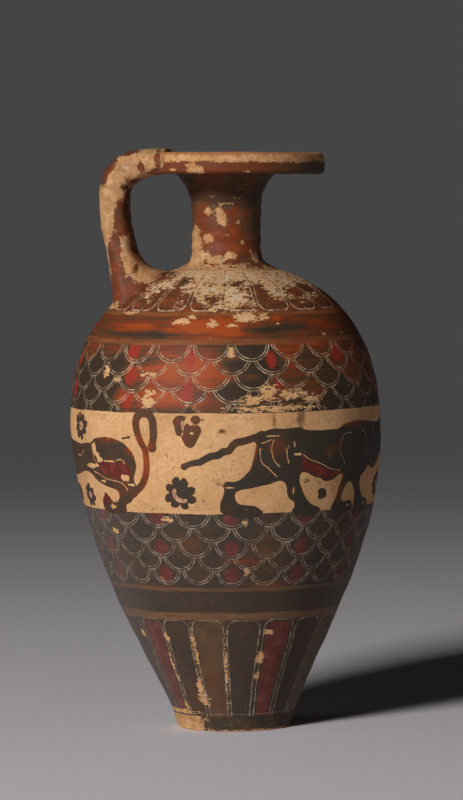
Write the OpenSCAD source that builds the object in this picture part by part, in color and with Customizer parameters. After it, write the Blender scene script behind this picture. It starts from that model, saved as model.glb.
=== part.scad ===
// Aryballos: a small oil flask of fired clay, 120 mm tall, with a plate-like mouth and a strap handle.
// Five pieces, formed apart and luted together while the clay was leather-hard:
// a turned foot, a thrown body, a thrown neck, a thrown mouth plate and a pulled strap handle.
// Millimetres. The flask stands on z = 0, its axis is +Z, and the handle is on the -X side.

/* [Body] */
// Largest outside diameter
belly_d = 64.6; // [54:0.2:78]
// Height of the largest diameter above the ground
belly_z = 63.4; // [53:0.2:76]
// Height of the body from the foot's seat to the neck's seat
body_h = 92.4; // [77:0.2:111]
// Diameter of the turned underside, at the foot's seat
base_d = 25.4; // [21:0.2:31]
// Lean of the wall from the vertical, where it leaves the foot
base_lean = 22; // [14:1:30]
// Slope of the shoulder from the horizontal, where it meets the neck
shoulder_slope = 14; // [9:1:24]
// How long the wall keeps its lean above the foot, as a share of the rise to the belly
base_pull = 0.25; // [0.15:0.01:0.35]
// How full the wall is below the belly, as a share of the same rise
belly_pull_low = 0.41; // [0.3:0.01:0.5]
// How full the wall is above the belly, as a share of the rise to the neck
belly_pull_top = 0.66; // [0.5:0.01:0.75]
// How far the shoulder keeps its slope away from the neck, as a share of the same rise
shoulder_pull = 0.37; // [0.28:0.01:0.46]
// Wall thickness from the foot to the neck
wall_t = 3.0; // [2:0.1:4]
// Thickness of the floor inside the body
floor_t = 4.6; // [3:0.1:6]

/* [Foot] */
// Height of the foot
foot_h = 3.2; // [2.6:0.1:4.2]
// Diameter of the foot at its top
foot_d = 24.8; // [20.6:0.2:31]
// Lean of the foot's side from the vertical
foot_lean = 9; // [0:1:15]
// Width of the ring that the foot stands on
foot_ring_w = 2.6; // [2:0.1:3.6]
// Depth of the turned recess under the foot
foot_recess = 1.3; // [0.6:0.1:1.6]
// Radius that rounds the foot's lower edge
foot_round = 0.4; // [0.2:0.1:0.8]

/* [Neck] */
// Height of the neck from the body to the mouth plate
neck_h = 19.2; // [16:0.2:24]
// Outside diameter where the neck stands on the body
neck_root_d = 17.2; // [15:0.2:21]
// Outside diameter at the waist
neck_waist_d = 14.2; // [12.6:0.1:17]
// Height of the waist above the body
neck_waist_z = 9.6; // [8:0.2:11.6]
// Outside diameter where the neck carries the mouth plate
neck_top_d = 20.8; // [17:0.2:25]
// Slope of the neck's side from the horizontal, at its root
neck_root_slope = 40; // [30:1:60]
// Slope of the neck's side from the horizontal, under the plate
neck_top_slope = 40; // [30:1:60]
// Bore through the neck
throat_d = 9.0; // [7.4:0.1:9.6]
// Wall of the lip that reaches down into the body's opening
spigot_t = 1.6; // [1.2:0.1:1.8]
// Slip-filled clearance round that lip
slip_gap = 0.15; // [0.05:0.05:0.3]

/* [Mouth plate] */
// Diameter of the plate
plate_d = 40.8; // [34:0.2:49]
// Thickness at the rim
plate_t = 4.4; // [3.6:0.1:5.4]
// Radius that rounds the rim
plate_round = 1.1; // [0.5:0.1:1.6]
// Width of the flat band round the top of the rim
plate_band_w = 1.8; // [1:0.1:4]
// How far the top dips towards the mouth
plate_dish = 0.9; // [0:0.1:1.2]
// Clearance of the plate's hole round the neck's bore
mouth_step = 0.3; // [0.1:0.1:0.8]
// Radius that rounds the mouth
mouth_round = 1.4; // [0.6:0.1:2]

/* [Handle] */
// Thickness of the strap
strap_t = 6.1; // [5:0.1:7]
// Thickness where it bends over the rim
strap_bend_t = 6.6; // [5.4:0.1:7.8]
// Width of the strap
strap_w = 14.5; // [12:0.5:17.5]
// Width where the strap spreads on the shoulder
strap_root_w = 20; // [15:0.5:23]
// How far the strap stands out past the rim
strap_reach = 5.7; // [4:0.1:7.5]
// Depth of the bend below the strap's top
strap_bend_h = 7.5; // [6.2:0.1:9]
// How far the strap's end laps over the plate
strap_lap = 7.2; // [5:0.1:9]
// Height of the lap above the plate's top
strap_lap_h = 0.8; // [0.5:0.1:1.2]
// Thickness of the clay that wraps the rim on both sides of the strap
strap_wrap_t = 1.2; // [0.6:0.1:2]
// Distance of the strap's root from the flask's axis
strap_root_r = 20.2; // [17:0.2:22]
// Radius that blends the strap's inner face into the shoulder
strap_fillet_in = 6; // [2:0.5:8]
// Radius that blends the strap's outer face into the shoulder
strap_fillet_out = 1.0; // [0.5:0.1:3]
// Radius that rounds the two tips of the lap
strap_tip_round = 2.5; // [1:0.1:4]
// How squarely the strap's edges are rounded, 2 for an ellipse
strap_corner = 3.2; // [2:0.1:5]

/* [Hidden] */
$fn = 120;

CLAY = [0.78, 0.60, 0.42];
DARK_SLIP = [0.22, 0.17, 0.14];
RED_SLIP = [0.55, 0.24, 0.14];

STEPS_LOW = 20;      // steps of the outline from the foot to the belly
STEPS_TOP = 18;      // steps of the outline from the belly to the neck
STEPS_NECK = 9;      // steps of each half of the neck's outline
STEPS_ROUND = 6;     // steps of a quarter round
STEPS_HALVING = 24;  // halvings that find a height on the shoulder
STRAP_RINGS = 52;    // rings along the strap
STRAP_SIDES = 28;    // sides of one ring
CUT = 1;             // how far a cut runs past what it cuts

seat_z = foot_h;                       // the body stands here
neck_z = seat_z + body_h;              // the neck stands here
plate_z = neck_z + neck_h;             // the mouth plate lies here
plate_top_z = plate_z + plate_t;
rim_r = plate_d / 2;
throat_r = throat_d / 2;
opening_r = throat_r + spigot_t + slip_gap;

// Point at t on the curve with the four control points p
function curve(p, t) =
    pow(1 - t, 3) * p[0] + 3 * pow(1 - t, 2) * t * p[1] + 3 * (1 - t) * t * t * p[2] + pow(t, 3) * p[3];

// Direction of that curve at t, of length 1
function heading(p, t) =
    let (d = pow(1 - t, 2) * (p[1] - p[0]) + 2 * (1 - t) * t * (p[2] - p[1]) + t * t * (p[3] - p[2]))
    d / norm(d);

// Points of an arc round the centre c, from the angle a0 to the angle a1
function arc(c, r, a0, a1) =
    [for (i = [0:STEPS_ROUND]) let (a = a0 + (a1 - a0) * i / STEPS_ROUND) c + r * [cos(a), sin(a)]];

// From 0 to 1, level at both ends
function ease(t) = t <= 0 ? 0 : t >= 1 ? 1 : t * t * (3 - 2 * t);

// What a fillet of radius r adds at the height h above the face that it runs into
function fillet(h, r) = h >= r ? 0 : h <= 0 ? r : r - sqrt(r * r - pow(r - h, 2));

// The larger of a and b, rounded over where they are about equal
function soft_max(a, b, round) = (a + b + sqrt(pow(a - b, 2) + round * round)) / 2;

// The body's outline is two curves, [radius, height], that meet upright at the belly
low_rise = belly_z - seat_z;
top_rise = neck_z - belly_z;
belly_point = [belly_d / 2, belly_z];
low_curve = [
    [base_d / 2, seat_z],
    [base_d / 2, seat_z] + base_pull * low_rise * [sin(base_lean), cos(base_lean)],
    belly_point - [0, belly_pull_low * low_rise],
    belly_point
];
top_curve = [
    belly_point,
    belly_point + [0, belly_pull_top * top_rise],
    [neck_root_d / 2, neck_z] + shoulder_pull * top_rise * [cos(shoulder_slope), -sin(shoulder_slope)],
    [neck_root_d / 2, neck_z]
];
body_outline = concat(
    [for (i = [0:STEPS_LOW - 1]) curve(low_curve, i / STEPS_LOW)],
    [for (i = [0:STEPS_TOP]) curve(top_curve, i / STEPS_TOP)]
);

// The inside follows the outline, one wall's thickness in
function inward(p, t) = let (h = heading(p, t)) curve(p, t) + wall_t * [-h[1], h[0]];

cavity_floor = seat_z + floor_t;
cavity_wall = concat(
    [for (i = [0:STEPS_LOW - 1]) inward(low_curve, i / STEPS_LOW)],
    [for (i = [0:STEPS_TOP]) inward(top_curve, i / STEPS_TOP)]
);
cavity_top = cavity_wall[len(cavity_wall) - 1][1];

// Height of the shoulder's surface at the radius r
function shoulder_z(r, low = 0, high = 1, left = STEPS_HALVING) =
    let (mid = (low + high) / 2)
    left == 0 ? curve(top_curve, mid)[1] :
    curve(top_curve, mid)[0] > r ? shoulder_z(r, mid, high, left - 1) : shoulder_z(r, low, mid, left - 1);

// The body's outer form without its cavity
module body_solid() {
    rotate_extrude()
        polygon(concat([[0, seat_z]], body_outline, [[0, neck_z]]));
}

module body() {
    color(RED_SLIP)
    difference() {
        body_solid();
        rotate_extrude()
            polygon(concat(
                [[0, cavity_floor]],
                [for (p = cavity_wall) if (p[1] > cavity_floor) p],
                [[0, cavity_top]]
            ));
        translate([0, 0, cavity_top - CUT])
            cylinder(r = opening_r, h = neck_z - cavity_top + 2 * CUT);
    }
}

// A disc that carries the body, turned hollow below so that it stands on a ring
module foot() {
    edge_r = foot_d / 2 - foot_h * tan(foot_lean) - foot_round;
    ring_r = edge_r - foot_ring_w;
    color(DARK_SLIP)
    rotate_extrude()
        polygon(concat(
            [[0, foot_recess], [ring_r - foot_recess, foot_recess], [ring_r, 0]],
            arc([edge_r, foot_round], foot_round, -90, 0),
            [[foot_d / 2, foot_h], [0, foot_h]]
        ));
}

// The neck's outline is two curves that meet upright at the waist
NECK_ROOT_PULL = 0.22;   // shares of the waist's height and of the rise above it
NECK_WAIST_PULL = 0.72;
NECK_FLARE_PULL = 0.50;
NECK_TOP_PULL = 0.34;
neck_root = [neck_root_d / 2, neck_z];
neck_waist = [neck_waist_d / 2, neck_z + neck_waist_z];
neck_top = [neck_top_d / 2, plate_z];
flare_h = neck_h - neck_waist_z;
neck_low_curve = [
    neck_root,
    neck_root + NECK_ROOT_PULL * neck_waist_z * [-cos(neck_root_slope), sin(neck_root_slope)],
    neck_waist - [0, NECK_WAIST_PULL * neck_waist_z],
    neck_waist
];
neck_top_curve = [
    neck_waist,
    neck_waist + [0, NECK_FLARE_PULL * flare_h],
    neck_top - NECK_TOP_PULL * flare_h * [cos(neck_top_slope), sin(neck_top_slope)],
    neck_top
];

module neck() {
    lip_r = throat_r + spigot_t;
    color(RED_SLIP)
    difference() {
        rotate_extrude()
            polygon(concat(
                [[0, cavity_top], [lip_r, cavity_top], [lip_r, neck_z]],
                [for (i = [0:STEPS_NECK - 1]) curve(neck_low_curve, i / STEPS_NECK)],
                [for (i = [0:STEPS_NECK]) curve(neck_top_curve, i / STEPS_NECK)],
                [[0, plate_z]]
            ));
        translate([0, 0, cavity_top - CUT])
            cylinder(r = throat_r, h = plate_z - cavity_top + 2 * CUT);
    }
}

// The rim's rounded side, from its underside to its top
rim_side = concat(
    arc([rim_r - plate_round, plate_z + plate_round], plate_round, -90, 0),
    arc([rim_r - plate_round, plate_top_z - plate_round], plate_round, 0, 90)
);

module mouth_plate() {
    hole_r = throat_r + mouth_step;
    mouth_z = plate_top_z - plate_dish;
    color(CLAY)
    rotate_extrude()
        polygon(concat(
            [[hole_r, plate_z]],
            rim_side,
            [[rim_r - plate_round - plate_band_w, plate_top_z], [hole_r + mouth_round, mouth_z]],
            arc([hole_r + mouth_round, mouth_z - mouth_round], mouth_round, 90, 180)
        ));
}

// The strap's middle line in its own plane, [distance from the axis, height]: over the rim, round the
// bend and down to the shoulder, where it ends inside the wall
BEND_SHARE = 0.4;         // share of the rings that lies before the end of the bend
BEND_OVER_PULL = 0.45;    // in thicknesses of the strap
BEND_SIDE_PULL = 0.1;
DOWN_PULL = 0.42;         // in shares of the drop from the bend to the shoulder
ROOT_PULL = 0.34;
ROOT_DEPTH = 1.8;         // how far the root runs into the shoulder, in thicknesses
strap_mid_r = rim_r + strap_reach - strap_t / 2;
strap_top_z = plate_top_z + strap_lap_h - strap_t / 2;
strap_bend_z = strap_top_z - strap_bend_h;
strap_root_z = shoulder_z(strap_root_r);
strap_drop = strap_bend_z - strap_root_z;
strap_over = [
    [rim_r - strap_lap, strap_top_z],
    [strap_mid_r - BEND_OVER_PULL * strap_t, strap_top_z],
    [strap_mid_r, strap_top_z - BEND_SIDE_PULL * strap_t],
    [strap_mid_r, strap_bend_z]
];
strap_down = [
    [strap_mid_r, strap_bend_z],
    [strap_mid_r, strap_bend_z - DOWN_PULL * strap_drop],
    [strap_root_r, strap_root_z + ROOT_PULL * strap_drop],
    [strap_root_r, strap_root_z - ROOT_DEPTH * strap_t]
];

function strap_point(s) =
    s < BEND_SHARE ? curve(strap_over, s / BEND_SHARE) : curve(strap_down, (s - BEND_SHARE) / (1 - BEND_SHARE));
function strap_heading(s) =
    s < BEND_SHARE ? heading(strap_over, s / BEND_SHARE) : heading(strap_down, (s - BEND_SHARE) / (1 - BEND_SHARE));

ROOT_SPREAD = 0.42;       // share of the strap over which its root spreads
WRAP_SOFT = 3;            // rounds the corner between wrap and strap
wrap_r = rim_r + strap_wrap_t;

// How far the point s lies from the lap's end, how near to the root, and how high above the shoulder at r
function lap_distance(s) = strap_point(s)[0] - strap_over[0][0];
function root_share(s) = ease((s - 1 + ROOT_SPREAD) / ROOT_SPREAD);
function height_above(s, r) = strap_point(s)[1] - shoulder_z(r);

// Half of the strap's width: it wraps the rim, narrows to the strap and spreads on the shoulder
function strap_half_w(s) =
    let (
        wrap = sqrt(max(0, pow(wrap_r, 2) - pow(strap_point(s)[0], 2))),
        strap = strap_w / 2 + root_share(s) * (strap_root_w - strap_w) / 2
    )
    soft_max(strap, wrap, WRAP_SOFT * wrap / wrap_r) - fillet(lap_distance(s), strap_tip_round);

// From the middle line to the outer face, which is rounded off at the lap's end
function strap_out(s) =
    strap_t / 2 + fillet(height_above(s, strap_root_r + strap_t / 2), strap_fillet_out)
    - fillet(lap_distance(s), strap_lap_h);

// From the middle line to the inner face, which is fuller in the bend
LAP_SHARE = 0.2;          // share of the strap that thins out towards its tip under the rim
function strap_in(s) =
    let (
        bend = min(1, s / BEND_SHARE),
        fuller = 4 * bend * (1 - bend),
        thinner = 1 - ease(s / LAP_SHARE)
    )
    strap_t / 2 + (strap_bend_t - strap_t) * fuller - (strap_t - plate_t - strap_lap_h) * thinner
    + fillet(height_above(s, strap_root_r - strap_fillet_in), strap_fillet_in);

// One ring round the strap, square to the middle line: a rounded rectangle that turns into an ellipse
ELLIPSE = 2;
function strap_ring(s) =
    let (
        p = strap_point(s),
        h = strap_heading(s),
        out = [-h[1], h[0]],
        half_w = strap_half_w(s),
        corner = strap_corner + (ELLIPSE - strap_corner) * root_share(s)
    )
    [for (i = [0:STRAP_SIDES - 1])
        let (
            a = 360 * i / STRAP_SIDES,
            half_t = cos(a) > 0 ? strap_out(s) : strap_in(s),
            u = half_t * sign(cos(a)) * pow(abs(cos(a)), ELLIPSE / corner),
            v = half_w * sign(sin(a)) * pow(abs(sin(a)), ELLIPSE / corner)
        )
        [-(p[0] + u * out[0]), v, p[1] + u * out[1]]
    ];

module strap_solid() {
    rings = [for (k = [0:STRAP_RINGS]) strap_ring(k / STRAP_RINGS)];
    last = STRAP_RINGS * STRAP_SIDES;
    sides = [for (k = [0:STRAP_RINGS - 1], i = [0:STRAP_SIDES - 1])
        let (a = k * STRAP_SIDES + i, b = k * STRAP_SIDES + (i + 1) % STRAP_SIDES)
        each [[a, b, a + STRAP_SIDES], [b, b + STRAP_SIDES, a + STRAP_SIDES]]
    ];
    caps = [
        [for (i = [0:STRAP_SIDES - 1]) STRAP_SIDES - 1 - i],
        [for (i = [0:STRAP_SIDES - 1]) last + i]
    ];
    polyhedron([for (ring = rings) each ring], concat(sides, caps));
}

// The strap, cut to seat on the shoulder and round the rim
module handle() {
    color(CLAY)
    difference() {
        strap_solid();
        body_solid();
        rotate_extrude()
            polygon(concat([[0, plate_z]], rim_side, [[0, plate_top_z]]));
    }
}

foot();
body();
neck();
mouth_plate();
handle();
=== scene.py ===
"""A footed aryballos, a small oil flask of fired clay: painted with slip, incised and worn by age.

Lengths are millimetres, and a mesh is turned into metres when it is finished. The flask's axis is +Z, its
front faces -Y and its handle is on the -X side. An angle round the axis is 0 at the front and grows towards
+X. Places on the painted frieze are given as [x, z]: x runs along the frieze, z is the height.
"""
import math

import bpy
import numpy as np
from mathutils import Matrix, Vector


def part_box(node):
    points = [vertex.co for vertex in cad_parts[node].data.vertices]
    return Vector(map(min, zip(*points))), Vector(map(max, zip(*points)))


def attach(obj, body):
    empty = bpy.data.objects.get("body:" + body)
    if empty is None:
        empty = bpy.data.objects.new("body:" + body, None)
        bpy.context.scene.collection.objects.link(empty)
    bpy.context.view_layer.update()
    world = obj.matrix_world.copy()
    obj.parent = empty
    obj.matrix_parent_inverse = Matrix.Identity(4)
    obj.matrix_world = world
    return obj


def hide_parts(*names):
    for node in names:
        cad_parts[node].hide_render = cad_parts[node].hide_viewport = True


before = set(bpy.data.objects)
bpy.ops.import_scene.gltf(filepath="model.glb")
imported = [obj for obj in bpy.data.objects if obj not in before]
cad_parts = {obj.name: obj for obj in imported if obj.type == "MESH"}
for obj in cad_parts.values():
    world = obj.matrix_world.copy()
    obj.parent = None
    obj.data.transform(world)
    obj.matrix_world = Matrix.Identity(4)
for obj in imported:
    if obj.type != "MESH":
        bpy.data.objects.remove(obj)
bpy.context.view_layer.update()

MM = 0.001
ROOT = "root"


# Sizes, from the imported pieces
def low(node):
    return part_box(node)[0] / MM


def high(node):
    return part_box(node)[1] / MM


BELLY_R = high("body").x
SEAT_Z = low("body").z
NECK_Z = high("body").z
PLATE_Z = low("mouth_plate").z
PLATE_TOP = high("mouth_plate").z
RIM_R = high("mouth_plate").x
CAVITY_TOP = low("neck").z

# The body's outline: two curves that meet upright at the belly
BELLY_Z = 63.4
BASE_R = 12.7
BASE_LEAN = math.radians(22)
SHOULDER_SLOPE = math.radians(14)
NECK_ROOT_R = 8.6
LOW_RISE = BELLY_Z - SEAT_Z
TOP_RISE = NECK_Z - BELLY_Z
BASE_PULL = 0.25 * LOW_RISE           # how far a curve's inner points lie from its ends
BELLY_PULL_DOWN = 0.41 * LOW_RISE
BELLY_PULL_UP = 0.66 * TOP_RISE
SHOULDER_PULL = 0.37 * TOP_RISE
LOW_CURVE = [
    (BASE_R, SEAT_Z),
    (BASE_R + BASE_PULL * math.sin(BASE_LEAN), SEAT_Z + BASE_PULL * math.cos(BASE_LEAN)),
    (BELLY_R, BELLY_Z - BELLY_PULL_DOWN),
    (BELLY_R, BELLY_Z),
]
TOP_CURVE = [
    (BELLY_R, BELLY_Z),
    (BELLY_R, BELLY_Z + BELLY_PULL_UP),
    (
        NECK_ROOT_R + SHOULDER_PULL * math.cos(SHOULDER_SLOPE),
        NECK_Z - SHOULDER_PULL * math.sin(SHOULDER_SLOPE),
    ),
    (NECK_ROOT_R, NECK_Z),
]
WALL = 3.0
FLOOR_Z = SEAT_Z + 4.6
OPENING_R = 6.25

# The neck's outline: two curves that meet upright at the waist
WAIST_R = 7.1
WAIST_RISE = 9.6
WAIST_Z = NECK_Z + WAIST_RISE
NECK_TOP_R = 10.4
NECK_SLOPE = math.radians(40)
THROAT_R = 4.5
LIP_R = 6.1
NECK_ROOT_PULL = 0.22 * WAIST_RISE
WAIST_PULL_DOWN = 0.72 * WAIST_RISE
WAIST_PULL_UP = 0.5 * WAIST_RISE
NECK_TOP_PULL = 0.34 * WAIST_RISE
NECK_LOW_CURVE = [
    (NECK_ROOT_R, NECK_Z),
    (NECK_ROOT_R - NECK_ROOT_PULL * math.cos(NECK_SLOPE), NECK_Z + NECK_ROOT_PULL * math.sin(NECK_SLOPE)),
    (WAIST_R, WAIST_Z - WAIST_PULL_DOWN),
    (WAIST_R, WAIST_Z),
]
NECK_TOP_CURVE = [
    (WAIST_R, WAIST_Z),
    (WAIST_R, WAIST_Z + WAIST_PULL_UP),
    (NECK_TOP_R - NECK_TOP_PULL * math.cos(NECK_SLOPE), PLATE_Z - NECK_TOP_PULL * math.sin(NECK_SLOPE)),
    (NECK_TOP_R, PLATE_Z),
]

# The plate
LEAN = math.tan(math.radians(0.7))    # how far the plate tips down towards +X
PLATE_TONGUES = 24
PLATE_RINGS = [(6.6, 8.0), (16.4, 17.5), (18.2, 18.6)]

# The handle
STRAP_T = 6.1
STRAP_BEND_T = 6.6
STRAP_W = 14.5
STRAP_ROOT_W = 20.0
STRAP_REACH = 5.7
STRAP_BEND_H = 7.5
STRAP_LAP = 9.0
STRAP_LAP_H = 0.8
STRAP_WRAP_T = 0.7
STRAP_ROOT_R = 20.2
STRAP_FILLET_IN = 6.0
STRAP_FILLET_OUT = 1.0
STRAP_TIP_ROUND = 2.2
STRAP_CORNER = 3.2

# The frieze
FRIEZE_R = 31.0        # mean radius: x along the frieze is the angle times this
FRONT_X = 1.35         # the front of the flask, from the middle of the photographed frieze
SLIP_T = 0.05          # thickness of a painted layer
LINE_W = 0.19          # width of an incised line in a painted layer
FIRST_COAT = 1.0       # how many layers deep a coat's face lies over the wall
SECOND_COAT = 1.25
TOP_COAT = 1.5
AROUND = 2 * math.pi * FRIEZE_R

# The room
ROOM_GREY = (70, 69, 70)
FILL = 0.02            # light from the ceiling, as a share of the room's grey


def bezier(points, t):
    """Points of a curve with four control points, for each t."""
    t = np.asarray(t, float)[..., None]
    p = np.array(points, float)
    return (1 - t) ** 3 * p[0] + 3 * (1 - t) ** 2 * t * p[1] + 3 * (1 - t) * t * t * p[2] + t ** 3 * p[3]


def bezier_heading(points, t):
    t = np.asarray(t, float)[..., None]
    p = np.array(points, float)
    d = (1 - t) ** 2 * (p[1] - p[0]) + 2 * (1 - t) * t * (p[2] - p[1]) + t * t * (p[3] - p[2])
    return d / np.linalg.norm(d, axis=-1, keepdims=True)


FINE = np.linspace(0, 1, 400)
BODY_SIDE = np.concatenate([bezier(LOW_CURVE, FINE), bezier(TOP_CURVE, FINE)[1:]])


def body_radius(z):
    """Radius of the body's outside at the height z."""
    return np.interp(z, BODY_SIDE[:, 1], BODY_SIDE[:, 0])


def shoulder_z(r):
    side = bezier(TOP_CURVE, FINE)[::-1]
    return np.interp(r, side[:, 0], side[:, 1])


def angle_of(x, y):
    """Angle round the axis in radians, 0 at the front."""
    return np.arctan2(x, -y)


# How the thrown axis leans, [height, how far it stands off to +X], then made smooth
SWAY_STEP = 0.25
SWAY_Z = np.arange(-30, 150, SWAY_STEP)
SWAY_STOPS = [
    (0, 0.75), (5, 0.6), (12, 0.3), (24, 0.02), (42, 0.0), (50, -0.2), (58, -0.5), (66, -0.68), (84, -0.75),
    (95, -0.1), (99, 0),
]
SWAY_SOFT = np.ones(24) / 24
SWAY_X = np.convolve(np.interp(SWAY_Z, *zip(*SWAY_STOPS)), SWAY_SOFT, "same")


def sway(z):
    """How far the leaning axis stands off to +X at the height z."""
    return np.interp(z, SWAY_Z, SWAY_X)


def unevenness(angle, z):
    """How far hand and wheel left the wall out of true, in millimetres."""
    out_of_round = 0.16 * np.cos(2 * angle - 0.7) + 0.07 * np.cos(3 * angle + 1.9)
    throwing = 0.035 * np.sin(z * 1.05 + angle) + 0.03 * np.sin(z * 0.47 - angle + 1.0)
    hand = 0.05 * np.sin(5 * angle + z * 0.21) * np.sin(z * 0.33 - 2 * angle)
    return out_of_round + throwing + hand


# Modelling
def fresh(kind, name, **settings):
    """Adds a primitive with nothing else selected, and names it."""
    bpy.ops.object.select_all(action="DESELECT")
    getattr(bpy.ops.mesh, "primitive_" + kind + "_add")(**settings)
    piece = bpy.context.object
    piece.name = name
    piece.data.name = name
    return piece


def turned(name, outline, steps):
    """Draws an outline of [radius, height] points and spins it once round the axis, as on the wheel."""
    piece = fresh("plane", name, size=1)
    bpy.ops.object.mode_set(mode="EDIT")
    bpy.ops.mesh.select_all(action="SELECT")
    bpy.ops.mesh.merge(type="CENTER")
    bpy.ops.transform.translate(value=(outline[0][0], 0, outline[0][1]))
    for before, after in zip(outline[:-1], outline[1:]):
        step = (after[0] - before[0], 0, after[1] - before[1])
        bpy.ops.mesh.extrude_region_move(TRANSFORM_OT_translate={"value": step})
    bpy.ops.mesh.select_all(action="SELECT")
    bpy.ops.mesh.spin(steps=steps, angle=2 * math.pi, axis=(0, 0, 1), center=(0, 0, 0))
    bpy.ops.mesh.select_all(action="SELECT")
    bpy.ops.mesh.remove_doubles(threshold=0.002)
    bpy.ops.mesh.normals_make_consistent(inside=False)
    bpy.ops.object.mode_set(mode="OBJECT")
    return piece


def points_of(piece):
    found = np.empty(len(piece.data.vertices) * 3)
    piece.data.vertices.foreach_get("co", found)
    return found.reshape(-1, 3)


def move_points(piece, points):
    piece.data.vertices.foreach_set("co", points.ravel())
    piece.data.update()


def to_metres(piece):
    piece.data.transform(Matrix.Scale(MM, 4))
    piece.data.update()


def smooth(piece, degrees):
    bpy.ops.object.select_all(action="DESELECT")
    piece.select_set(True)
    bpy.context.view_layer.objects.active = piece
    bpy.ops.object.shade_smooth_by_angle(angle=math.radians(degrees))


def finish(piece, degrees, material):
    """Turns a shaped piece into metres, smooths it up to an angle and gives it its material."""
    to_metres(piece)
    smooth(piece, degrees)
    piece.data.materials.append(material)


def push_out(points, angle, amount):
    """Moves points away from the axis, each by its own amount."""
    points[:, 0] += amount * np.sin(angle)
    points[:, 1] -= amount * np.cos(angle)


def arc(r, z, radius, start, end, count):
    """Points of an arc round [r, z] between two angles in degrees, of which 0 points outwards and 90 up."""
    angles = np.radians(np.linspace(start, end, count))
    return [(r + radius * math.cos(a), z + radius * math.sin(a)) for a in angles]


def paint(piece, name, values):
    """Stores one number for each point, which a material reads by the name."""
    layer = piece.data.attributes.new(name, "FLOAT", "POINT")
    layer.data.foreach_set("value", np.asarray(values, np.float32))


def frieze_x(points):
    """x along the frieze for each point, by its angle. The drawing stays upright on the leaning axis."""
    return angle_of(points[:, 0], points[:, 1]) * FRIEZE_R - FRONT_X + sway(points[:, 2])


def spots(x, z, places):
    """How deep each point lies in the nearest spot [x, z, half width, half height, strength].

    It is the strength at a spot's middle, half of it at the spot's edge and 0 from twice as far out.
    """
    deepest = np.zeros_like(x)
    for spot_x, spot_z, half_w, half_h, strength in places:
        across = (x - spot_x + AROUND / 2) % AROUND - AROUND / 2
        away = np.sqrt((across / half_w) ** 2 + ((z - spot_z) / half_h) ** 2)
        deepest = np.maximum(deepest, strength * np.clip(1 - away / 2, 0, 1))
    return deepest


def along(values, stops):
    """Straight lines through [value, result] stops."""
    stops = np.array(stops, float)
    return np.interp(values, stops[:, 0], stops[:, 1])


# Shader maths
class Wire:
    """A value in a material, which Python's operators can work on."""

    def __init__(self, tree, socket=None):
        self.tree = tree
        self.socket = socket

    def node(self, kind, settings, sockets, out=0):
        """Adds a node, sets it up, feeds its sockets with values or wires, and returns one of its outputs."""
        made = self.tree.nodes.new("ShaderNode" + kind)
        for name, value in settings.items():
            if name == "stops":
                ramp = made.color_ramp
                while len(ramp.elements) < len(value):
                    ramp.elements.new(1.0)
                for element, (place, colour) in zip(ramp.elements, value):
                    element.position = place
                    element.color = colour
            else:
                setattr(made, name, value)
        for name, value in sockets.items():
            if isinstance(value, Wire):
                self.tree.links.new(value.socket, made.inputs[name])
            else:
                made.inputs[name].default_value = value
        return Wire(self.tree, made.outputs[out])

    def math(self, operation, *values):
        return self.node("Math", {"operation": operation}, dict(enumerate(values)))

    def __add__(self, other):
        return self.math("ADD", self, other)

    def __radd__(self, other):
        return self.math("ADD", other, self)

    def __sub__(self, other):
        return self.math("SUBTRACT", self, other)

    def __rsub__(self, other):
        return self.math("SUBTRACT", other, self)

    def __mul__(self, other):
        return self.math("MULTIPLY", self, other)

    def __rmul__(self, other):
        return self.math("MULTIPLY", other, self)

    def __truediv__(self, other):
        return self.math("DIVIDE", self, other)

    def __lt__(self, other):
        return self.math("LESS_THAN", self, other)

    def __abs__(self):
        return self.math("ABSOLUTE", self)

    def highest(self, other):
        return self.math("MAXIMUM", self, other)

    def lowest(self, other):
        return self.math("MINIMUM", self, other)

    def root(self):
        return self.math("SQRT", self)

    def sine(self):
        return self.math("SINE", self)

    def whole(self):
        return self.math("ROUND", self)

    def floor(self):
        return self.math("FLOOR", self)

    def fraction(self):
        return self.math("FRACT", self)

    def parts(self):
        """The x, y and z of a vector."""
        split = self.tree.nodes.new("ShaderNodeSeparateXYZ")
        self.tree.links.new(self.socket, split.inputs[0])
        return [Wire(self.tree, output) for output in split.outputs]

    def step(self, start, end):
        """From 0 at the start to 1 at the end, soft at both."""
        ends = {"From Min": start, "From Max": end}
        return self.node("MapRange", {"interpolation_type": "SMOOTHSTEP"}, {"Value": self, **ends})

    def near(self, middle, half, soft):
        """1 where the value is within half of the middle, 0 further off."""
        return 1 - abs(self - middle).step(half - soft, half + soft)

    def between(self, start, end, soft=0.08):
        return self.step(start - soft, start + soft) * (1 - self.step(end - soft, end + soft))

    def mix(self, a, b):
        """The colour a where this is 0 and b where it is 1."""
        return self.node("Mix", {"data_type": "RGBA"}, {0: self, 6: a, 7: b}, out=2)

    def ramp(self, stops):
        """The colour that the stops [place, colour] give this value."""
        return self.node("ValToRGB", {"stops": [(place, srgb(colour)) for place, colour in stops]}, {0: self})


def srgb(colour):
    """A colour on a screen's scale of 0 to 255, as the linear values that a shader takes."""
    return tuple(((part / 255 + 0.055) / 1.055) ** 2.4 for part in colour) + (1.0,)


def emptied(owner):
    """A wire in the node tree of a material or a world, which has no nodes yet."""
    owner.use_nodes = True
    owner.node_tree.nodes.clear()
    return Wire(owner.node_tree)


def begin(name):
    """A new material, and the place in millimetres as a vector."""
    material = bpy.data.materials.new(name)
    place = emptied(material).node("TexCoord", {}, {}, out="Object")
    return material, place.node("VectorMath", {"operation": "SCALE"}, {0: place, "Scale": 1 / MM})


def show(surface, kind="OutputMaterial"):
    """Gives the surface to its tree's output."""
    output = surface.tree.nodes.new("ShaderNode" + kind)
    surface.tree.links.new(surface.socket, output.inputs["Surface"])


SHINE = 0.17           # specular level of slip and clay


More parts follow.
